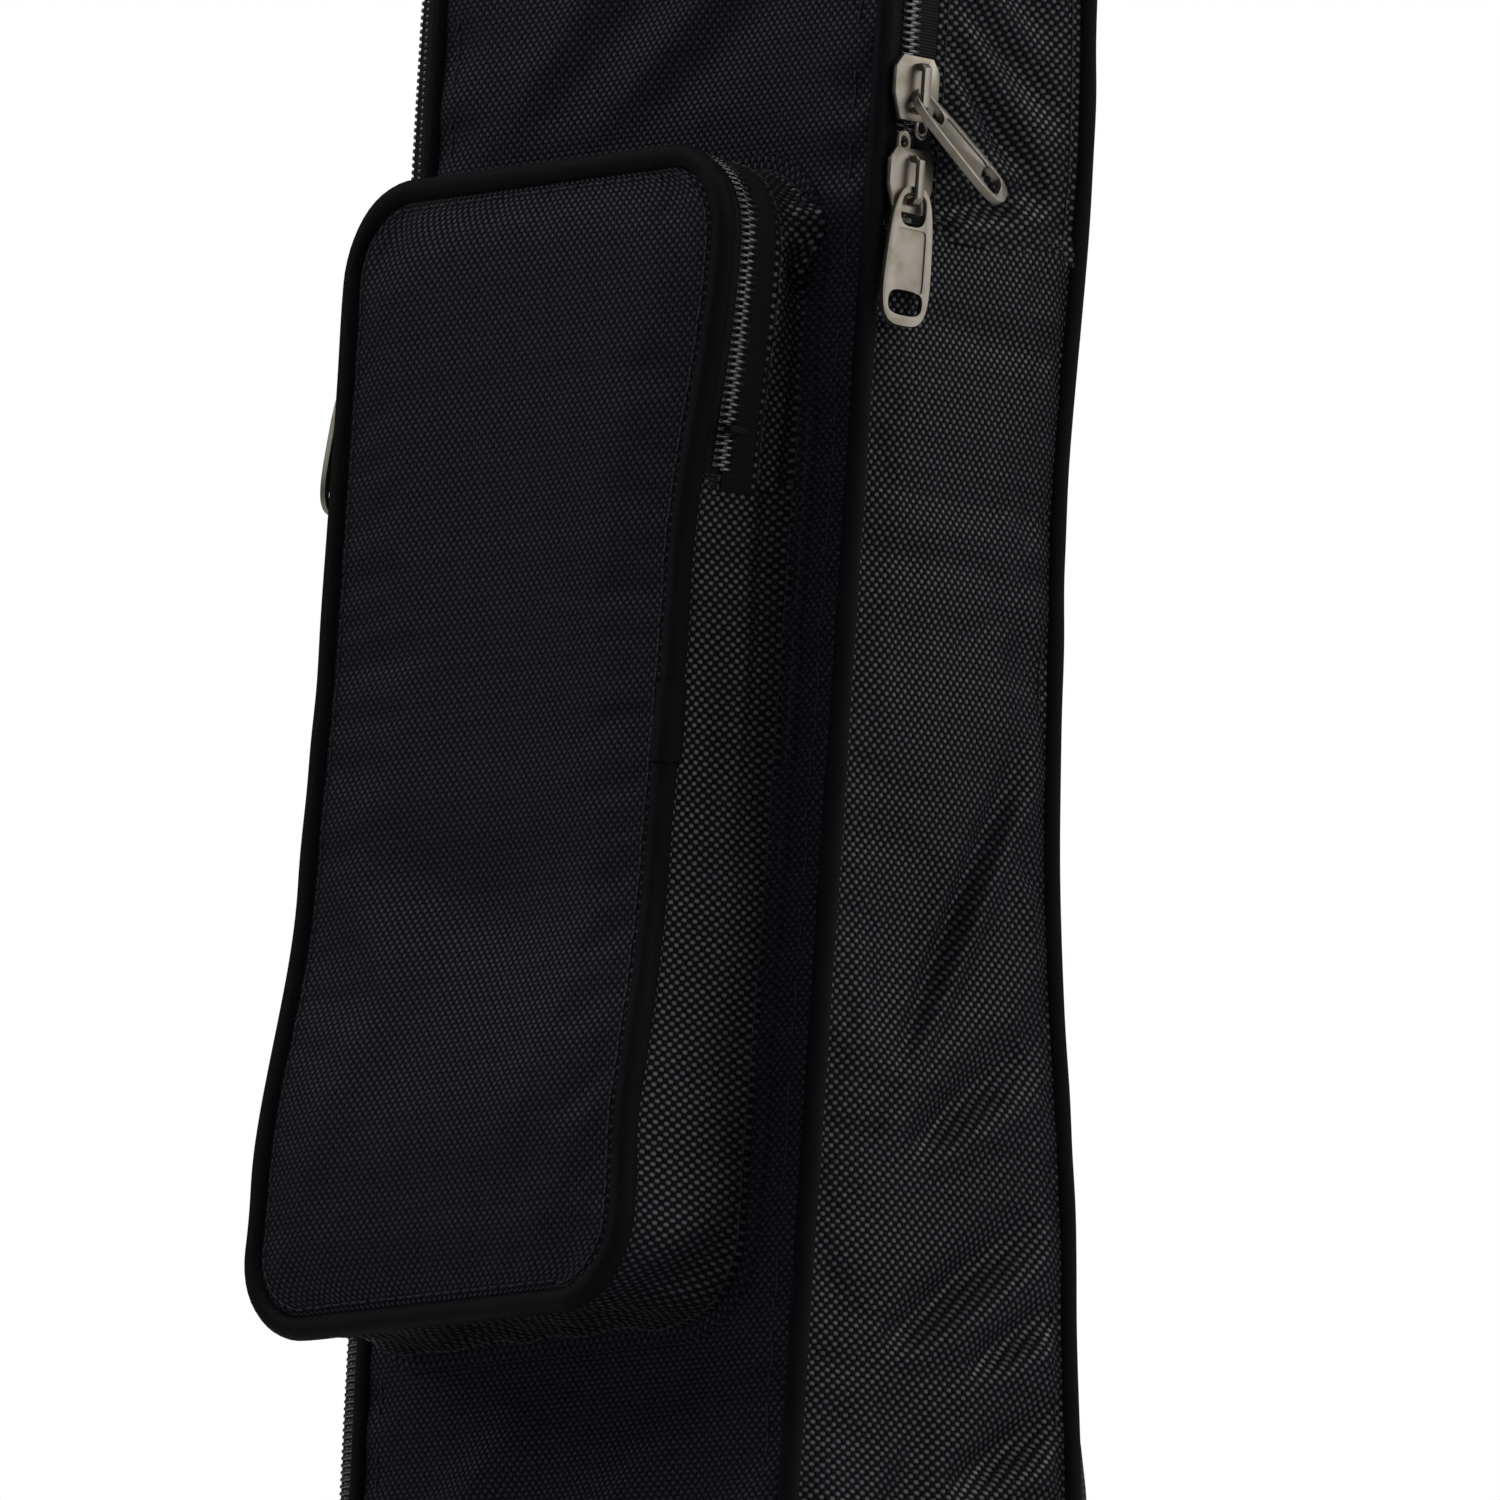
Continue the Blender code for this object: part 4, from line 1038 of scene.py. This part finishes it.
def make_puller(name, body, node, origin, turn):
    """A puller drawn hanging from the origin, facing +X, then turned to its place."""
    middle = PULLER_TOP - PULLER_LONG / 2
    body_half = (PULLER_WIDE / 2, PULLER_LONG / 2)
    whole = plate(name, oblong(*body_half, 3.4, middle, 0.26), PULLER_THICK, 96)
    hole_middle = PULLER_TOP - 1.3 * MM - HOLE_HALF[1]
    carve(whole, plate("hole", oblong(*HOLE_HALF, 3.0, hole_middle), 9 * MM, 48))
    window_middle = PULLER_TOP - PULLER_LONG + 4.6 * MM
    carve(whole, plate("window", oblong(*WINDOW_HALF, 3.0, window_middle), 9 * MM, 48))
    for face in (-1, 1):
        recess = plate("recess", oblong(*PANEL_HALF, 12.0, PULLER_TOP - 14.9 * MM, 0.10), PULLER_THICK, 64)
        recess.data.transform(Matrix.Translation((face * (PULLER_THICK - PANEL_DEEP), 0, 0)))
        carve(whole, recess)
    apply_modifier(whole, "BEVEL", width=0.26 * MM, segments=3, limit_method="ANGLE",
                   angle_limit=math.radians(50))
    whole.data.transform(Matrix.Translation(origin) @ turn)
    wear_on(smooth(whole, 35), body, "nickel", NICKEL, node)


def turn_by(degrees, axis):
    """A turn about an axis through the origin."""
    return Matrix.Rotation(math.radians(degrees), 4, axis)


joints = {joint["name"]: joint for joint in frame["joints"]}
upper_axis = joints["upper_puller_swing"]["axis"]
UPPER_TILT = math.degrees(math.atan2(-upper_axis[2], -upper_axis[1]))
UPPER_TURN = turn_by(UPPER_TILT, "X") @ turn_by(-9, "Y") @ turn_by(34, "Z")
for puller, node, turn in (
    ("lower_puller", "main_puller_lower", turn_by(-9, "Z") @ turn_by(-2, "X")),
    ("upper_puller", "main_puller_upper", UPPER_TURN),
    ("pocket_puller", "pocket_puller", turn_by(6, "Y") @ turn_by(180, "Z")),
):
    make_puller(puller + "_plate", puller, node, Vector(joints[puller + "_swing"]["pos_m"]), turn)

# --- the cover ------------------------------------------------------------------------------------
# The front of the bag: the same cloth over thin foam, sewn to the front piping. It opens on its right edge.
pocket_low, pocket_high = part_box("pocket_piping_lower")
flap_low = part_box("pocket_piping_upper")[0]
wall_low, wall_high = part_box("pocket_gusset_lower")
POCKET_BEND = 18 * MM
POCKET = Rim(wall_low.x, wall_high.x, wall_low.z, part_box("pocket_gusset_upper")[1].z, POCKET_BEND)
POCKET_MIDDLE = ((wall_low.x + wall_high.x) / 2,
                 POCKET.foot - POCKET_BEND + (POCKET.tall + 2 * POCKET_BEND) / 2)


def off_pocket(x, z):
    """How far a point of the cover is outside the pocket's outline, and 0 inside it."""
    half_x, half_z = POCKET.wide / 2, POCKET.tall / 2
    beyond_x = np.maximum(np.abs(x - POCKET_MIDDLE[0]) - half_x, 0)
    beyond_z = np.maximum(np.abs(z - POCKET_MIDDLE[1]) - half_z, 0)
    return np.maximum(np.hypot(beyond_x, beyond_z) - POCKET_BEND, 0)


def cover_relief(x, z, edge):
    """Softly padded, with slanting folds above and below the pocket and gathers along the seam.

    Each fold has its two ends as (x, z), its width and its height, in millimetres.
    """
    held = 1 - np.exp(-edge / (6 * MM))
    free = ease(off_pocket(x, z), 5 * MM, 14 * MM)
    out = 0.28 * MM * ripple(x, z, 17 * MM, 2.6)
    for start, end, width, tall in (
        ((-44, 335), (4, 386), 7, 1.2), ((-14, 334), (44, 380), 7, 1.4),
        ((-52, 372), (6, 428), 9, 1.0), ((10, 372), (56, 424), 8, 1.0),
        ((-60, 34), (-8, 74), 6, 2.4), ((-28, 22), (44, 70), 7, 2.7),
        ((8, 8), (60, 50), 6, 2.2), ((-50, 8), (4, 34), 6, 1.8),
    ):
        out = out + fold(x / MM, z / MM, start, end, width, tall * MM)
    strip = np.exp(-np.maximum(edge - 3 * MM, 0) / (6 * MM)) * ease(edge, 0, 2 * MM)
    gathers = 0.75 * MM * strip * np.sin(z / (3.4 * MM) + 2 * np.sin(z / (13 * MM)))
    puckers = 0.75 * MM * ease(x, 55 * MM, 59 * MM) * ease(z, 0.165, 0.205) * (1 - ease(z, 0.262, 0.290))
    slanting = np.sin((z - 0.7 * x) / (1.3 * MM) + 1.2 * np.sin(z / (9 * MM)))
    return held * (0.45 * MM + out * free) + gathers + puckers * slanting


def lean(x, y, z):
    """The cover leans with the bag's taper, and its layers stay flat."""
    leaning = sag(x, FRONT + 0 * y, z)
    return leaning[0], y, leaning[2]


cover = panel_sheet("cover_front", BODY, PANEL_EDGE, flat_at(FRONT - 0.5 * MM), 2.4 * MM, -1, cover_relief,
                    pressure=2.0, slack=0.005, cap=1.3 * MM)
wear_on(cover, "cover", "oxford_cloth", FRONT_CLOTH, "cover_panel")
foam_and_lining("cover", flat_at(FRONT), -1, "cover", lean)
edge_line = body_line(0, BODY.total, flat_at(FRONT - MM), 400, -INSET - PIPE - 4.6 * MM)
stitch_row("cover_seam", "cover", edge_line, [cover])

# --- the front pocket -----------------------------------------------------------------------------
# A box of the same cloth with its own piping; a zip closes its top and the upper part of both sides. Its front
# folds down where the zip is open; only the front half of its zip moves with the flap here, and the front
# cloth, its piping and its seam are attached to no body.
POCKET_Y = (pocket_low.y + pocket_high.y) / 2
POCKET_ZIP_END = wall_high.z - 8 * MM
FOLD = (pocket_high.z + flap_low.z) / 2
POCKET_SEAT = FRONT - 0.9 * MM
POCKET_BEHIND_ZIP = POCKET_Y + (BEHIND_ZIP - FRONT) - 0.3 * MM


def pocket_sag(x, y, z):
    """The full pocket hangs forward at its foot, and its right edge is drawn in at half height."""
    depth = np.clip((POCKET_SEAT - y) / (POCKET_SEAT - POCKET_Y), 0, 1)
    forward = through(z, (wall_low.z, 9.0), (0.118, 8.0), (0.180, 1.2), (0.225, 0), (0.330, 0)) * MM
    pinch = through(z, (wall_low.z, 0.5), (0.130, 3.0), (0.180, 6.5), (0.235, 7.0), (0.300, 0),
                    (0.330, 0)) * MM
    return x - pinch * ease(x, -10 * MM, wall_high.x) * depth, y - forward * depth ** 0.8, z


def pocket_front_relief(x, z, edge):
    """The pocket's front: full in the middle, drawn in at the piping, with a shallow dent or two."""
    held = 1 - np.exp(-edge / (9 * MM))
    out = 1.4 * MM + 0.25 * MM * ripple(x, z, 19 * MM, 4.4)
    for start, end, width, tall in (((-52, 190), (22, 158), 10, -1.0), ((-54, 110), (-22, 176), 9, 0.7),
                                    ((8, 112), (40, 160), 9, 0.6)):
        out = out + fold(x / MM, z / MM, start, end, width, tall * MM)
    return held * out


pocket_face = panel_sheet("pocket_front", POCKET, PANEL_EDGE, flat_at(POCKET_Y - 0.4 * MM), 2.4 * MM, -1,
                          pocket_front_relief, pressure=2.5, slack=0.005, cap=1.4 * MM, warp=pocket_sag)
wear_on(pocket_face, None, "oxford_cloth", FRONT_CLOTH, "pocket_front_lower", "pocket_front_upper")
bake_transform(pocket_face)
pocket_cord = cord_tube("pocket_piping", POCKET, 0.0, POCKET.total, flat_at(POCKET_Y), PIPE * 1.12,
                        warp=pocket_sag)
wear_on(pocket_cord, None, "piping_cloth", BINDING, "pocket_piping_lower", "pocket_piping_upper")
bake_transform(pocket_cord)
joint_low, joint_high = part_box("pocket_piping_joint")
joint_sleeve = cord_tube("pocket_piping_sleeve", POCKET, POCKET.right_at(joint_low.z),
                         POCKET.right_at(joint_high.z), flat_at(POCKET_Y), PIPE * 1.40, step=1.2 * MM,
                         warp=pocket_sag)
wear_on(joint_sleeve, "cover", "piping_cloth", BINDING, "pocket_piping_joint")


def pocket_wall(name, start, end, front_y, relief, node, columns):
    """A strip of the pocket's side wall, from its zip or piping back to the cover."""
    rows = int((end - start) / (2.0 * MM))

    def surface(u, v):
        s = start + (end - start) * v
        x, z, nx, nz = POCKET.at(s)
        out = relief(s, u, z)
        return x + nx * out, front_y + (POCKET_SEAT - front_y) * u, z + nz * out

    strip = cloth_sheet(name, columns, rows, (POCKET_SEAT - front_y, end - start), surface)
    face_away(strip, Vector((0, POCKET_Y, POCKET_MIDDLE[1])))
    warped(strip, pocket_sag)
    apply_modifier(strip, "SOLIDIFY", thickness=CLOTH, offset=-1.0)
    wear_on(smooth(strip), "cover", "oxford_cloth", SIDE_CLOTH, node)
    return strip


def pocket_wall_relief(s, share, z):
    """The pocket's sides sag in a little, and gather at the lower corners."""
    held = ease(share, 0, 0.3) * ease(1 - share, 0, 0.2)
    low = np.exp(-(z - wall_low.z) / (18 * MM))
    across = share * 22 * MM
    out = held * (-0.6 * MM + 0.5 * MM * ripple(s, across, 8 * MM, 5.1))
    out -= held * 1.1 * MM * np.exp(-((share - 0.72) / 0.09) ** 2) * ease(z, 0.150, 0.220)
    return out + held * low * 1.6 * MM * ripple(s, across, 3.2 * MM, 0.7) + seam_puckers(s, share, 0.35 * MM)


def pocket_upper_relief(s, share, z):
    """Behind the pocket's zip, with the fold that the corner pushes up at the right shoulder."""
    shoulder = POCKET.right_at(POCKET.foot + POCKET.tall)
    right = np.exp(-((s - shoulder + 4 * MM) / (15 * MM)) ** 2)
    held = ease(share, 0, 0.25) * ease(1 - share, 0, 0.2)
    past = (s - shoulder) / MM
    ear = 4.6 * np.exp(-((past - 5) / 5.5) ** 2) - 2.6 * np.exp(-((past + 4) / 4.0) ** 2)
    back = ease(share, 0.15, 0.75) * (1 - ease(share, 0.90, 1.0))
    return pocket_wall_relief(s, share, z) + right * held * 0.8 * MM * np.sin(share * 9) + ear * back * MM


pocket_side = pocket_wall("pocket_side_lower", POCKET.left_at(POCKET_ZIP_END + 1.2 * MM),
                          POCKET.total + POCKET.right_at(POCKET_ZIP_END + 1.2 * MM), POCKET_Y + PIPE * 0.8,
                          pocket_wall_relief, "pocket_gusset_lower", columns=16)
pocket_upper = pocket_wall("pocket_side_upper", POCKET.right_at(POCKET_ZIP_END - MM),
                           POCKET.left_at(POCKET_ZIP_END - MM), POCKET_BEHIND_ZIP, pocket_upper_relief,
                           "pocket_gusset_upper", columns=12)

pocket_start = POCKET.right_at(POCKET_ZIP_END + 2 * MM)
pocket_end = POCKET.left_at(POCKET_ZIP_END + 2 * MM)
fold_right, fold_left = POCKET.right_at(FOLD), POCKET.left_at(FOLD)
for side, start, end, body, tuck in (
    ("rear", pocket_start, pocket_end, "cover", 4 * MM),
    ("front_right", pocket_start, fold_right, "cover", 4 * MM),
    ("front_left", fold_left, pocket_end, "cover", 0.0),
    ("front", fold_right, fold_left, "pocket_flap", 0.0),
):
    zip_half("pocket_zip", "pocket", side, POCKET, start, end, POCKET_Y, body, pocket_sag, tuck)
for node in ("pocket_zip_stop_left", "pocket_zip_stop_right"):
    wear_on(copy_of(node, node + "_patch", 0.4 * MM), "cover", "zip_tape", TAPE, node)


def pocket_line(start, end, y, count, out):
    """Points along the pocket's rim, after the pocket has sagged."""
    x, z = POCKET.at(np.linspace(start, end, count), out)[:2]
    return np.column_stack(pocket_sag(x, np.full(count, y), z))


zip_seam = pocket_line(pocket_start - 2 * MM, pocket_end + 2 * MM, POCKET_BEHIND_ZIP + 1.2 * MM, 160,
                       0.6 * MM)
stitch_row("pocket_zip_seam", "cover", zip_seam, [pocket_upper])
for row in range(3):
    level = POCKET_ZIP_END + (0.6 - 0.9 * row) * MM
    x, z = POCKET.at(np.full(14, POCKET.right_at(level)), MM)[:2]
    tack = np.linspace(POCKET_Y + PIPE, POCKET_BEHIND_ZIP, 14)
    stitch_row(f"pocket_end_tack_{row}", "cover", np.column_stack(pocket_sag(x, tack, z)), [pocket_side],
               pitch=1.5 * MM)

# The pocket's foot is turned out and sewn flat on the cover, with a second row of stitches on the wall.
HEM_WIDE = 3.4 * MM


def hem_surface(u, v):
    """A narrow strip round the pocket, on the face of the cover."""
    x, z, nx, nz = POCKET.at(POCKET.total * v, 0.0)
    out = -MM + (HEM_WIDE + MM) * u
    return x + nx * out, np.full_like(x, FRONT - 2 * MM), z + nz * out


hem = cloth_sheet("pocket_base_strip", 5, 300, (HEM_WIDE, POCKET.total), hem_surface)
face_away(hem, Vector((0, 1, POCKET_MIDDLE[1])))
apply_modifier(hem, "SHRINKWRAP", target=cover, wrap_method="NEAREST_SURFACEPOINT",
               wrap_mode="ABOVE_SURFACE", offset=0.75 * MM)
apply_modifier(hem, "SOLIDIFY", thickness=0.75 * MM, offset=-1.0)
wear_on(smooth(hem), "cover", "oxford_cloth", FRONT_CLOTH, "pocket_base_hem")
x, z = POCKET.at(np.linspace(0, POCKET.total, 300), HEM_WIDE / 2)[:2]
stitch_row("pocket_base_seam", "cover", np.column_stack((x, np.full(300, FRONT - 2 * MM), z)), [hem])
wall_line = pocket_line(0, POCKET.total, POCKET_SEAT - 2.6 * MM, 300, 0.6 * MM)
stitch_row("pocket_wall_seam", "cover", wall_line, [pocket_side, pocket_upper])
front_line = pocket_line(0, POCKET.total, POCKET_Y - 2.2 * MM, 300, -INSET - PIPE - 1.6 * MM)
seam = stitch_row("pocket_front_seam", None, front_line, [pocket_face])
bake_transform(seam)

# --- the shoulder strap ---------------------------------------------------------------------------
# Ribbed polypropylene webbing down the back. A ring and a sewn tab hold it at each end, and a moulded slide
# sets its length.
WEBBING = ribbed_material("webbing", colour=(0.0060, 0.0060, 0.0068), lift=(0.016, 0.016, 0.018), ribs=700.0,
                          slant=0.0, rough=0.55, relief=0.3 * MM)
PLASTIC, tree, shader = new_material("strap_plastic")
grain = tree.noise(tree.add("TexCoord").outputs["Object"], 1800.0)
tree.fill(shader, {"Base Color": tree.mix(grain, (0.007, 0.007, 0.008), (0.014, 0.014, 0.015)),
                   "Roughness": 0.42, "Normal": tree.bump(grain, 0.4, 0.08 * MM)})
wear_on(copy_of("strap_webbing", "strap_band", 0.5 * MM), "case", "webbing", WEBBING, "strap_webbing")
for end in ("lower", "upper"):
    tab = wear_on(copy_of("strap_tab_" + end, end + "_tab", 0.4 * MM), "case", "webbing", WEBBING,
                  "strap_tab_" + end)
    wear_on(copy_of("strap_ring_" + end, end + "_ring"), "case", "nickel", NICKEL, "strap_ring_" + end)
    low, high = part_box("strap_tab_" + end)
    for row, z in enumerate((low.z + 3 * MM, high.z - 3 * MM)):
        line = np.column_stack((np.linspace(low.x + 2 * MM, high.x - 2 * MM, 12), np.full(12, high.y + MM),
                                np.full(12, z)))
        stitch_row(f"{end}_tab_stitches_{row}", "case", line, [tab])
wear_on(copy_of("strap_slide", "strap_adjuster", 0.6 * MM), "case", "strap_plastic", PLASTIC, "strap_slide")

# --- the floor, the lights and the camera ---------------------------------------------------------
# A pale floor that only shows from above, four wide soft lights, and a long lens that looks slightly up at
# the right of the bag's front.
bpy.ops.object.select_all(action="DESELECT")
bpy.ops.mesh.primitive_plane_add(size=6.0, location=(0, 0, 0))
floor = bpy.context.object
floor.name = "floor"
floor_look, tree, shader = new_material("floor")
shader.inputs["Base Color"].default_value = (0.86, 0.86, 0.86, 1)
shader.inputs["Roughness"].default_value = 0.6
clear = tree.add("BsdfTransparent")
under = tree.add("NewGeometry").outputs["Backfacing"]
seen = tree.math("MULTIPLY", tree.add("LightPath").outputs["Is Camera Ray"], 0.45)
glow = tree.add("Emission", {"Color": (1, 1, 1, 1), "Strength": seen})
pale = tree.add("AddShader", {0: shader.outputs[0], 1: glow.outputs[0]})
both = tree.add("MixShader", {0: under, 1: pale.outputs[0], 2: clear.outputs[0]})
tree.fill(tree.tree.nodes["Material Output"], {"Surface": both.outputs[0]})
floor.data.materials.append(floor_look)

world = bpy.data.worlds.new("studio")
bpy.context.scene.world = world
world.use_nodes = True
tree = Tree(world.node_tree)
seen = tree.add("LightPath").outputs["Is Camera Ray"]
white = tree.add("Background", {"Color": (1, 1, 1, 1), "Strength": 1.0})
dim = tree.add("Background", {"Color": (0.93, 0.96, 1.0, 1), "Strength": 0.09})
both = tree.add("MixShader", {0: seen, 1: dim.outputs[0], 2: white.outputs[0]})
tree.fill(world.node_tree.nodes["World Output"], {"Surface": both.outputs[0]})

VIEW_TARGET = Vector((-0.0089, 0.0022, 0.2129))
VIEW_AZIMUTH = 50.9
VIEW_ELEVATION = -8.9
VIEW_ROLL = 3.8
VIEW_DISTANCE = 10.99
VIEW_WIDTH = 0.2985


def direction(azimuth, elevation):
    """The direction from the bag to a lamp or to the lens, by its angles in degrees."""
    a, e = math.radians(azimuth), math.radians(elevation)
    return Vector((math.sin(a) * math.cos(e), -math.cos(a) * math.cos(e), math.sin(e)))


def softbox(name, azimuth, elevation, distance, size, power):
    """A square area light that looks at the bag."""
    light = bpy.data.lights.new(name, "AREA")
    light.size = size
    light.energy = power
    lamp = bpy.data.objects.new(name, light)
    bpy.context.scene.collection.objects.link(lamp)
    away = direction(azimuth, elevation)
    lamp.location = Vector((0, 0, 0.22)) + away * distance
    lamp.rotation_euler = away.to_track_quat("Z", "Y").to_euler()


softbox("key", 150, 42, 1.6, 0.9, 9)
softbox("sheen", 114, 15, 1.7, 1.35, 11)
softbox("fill", -50, 32, 1.8, 1.2, 9)
softbox("top", 20, 75, 1.5, 0.8, 9)

away = direction(VIEW_AZIMUTH, VIEW_ELEVATION)
lens = bpy.data.cameras.new("camera")
lens.sensor_width = 36.0
lens.lens = 36.0 * VIEW_DISTANCE / VIEW_WIDTH
lens.clip_end = 100.0
camera = bpy.data.objects.new("camera", lens)
bpy.context.scene.collection.objects.link(camera)
camera.location = VIEW_TARGET + away * VIEW_DISTANCE
level = away.to_track_quat("Z", "Y").to_matrix().to_4x4()
camera.rotation_euler = (level @ turn_by(VIEW_ROLL, "Z")).to_euler()
bpy.context.scene.camera = camera
bpy.context.scene.view_settings.view_transform = "Standard"
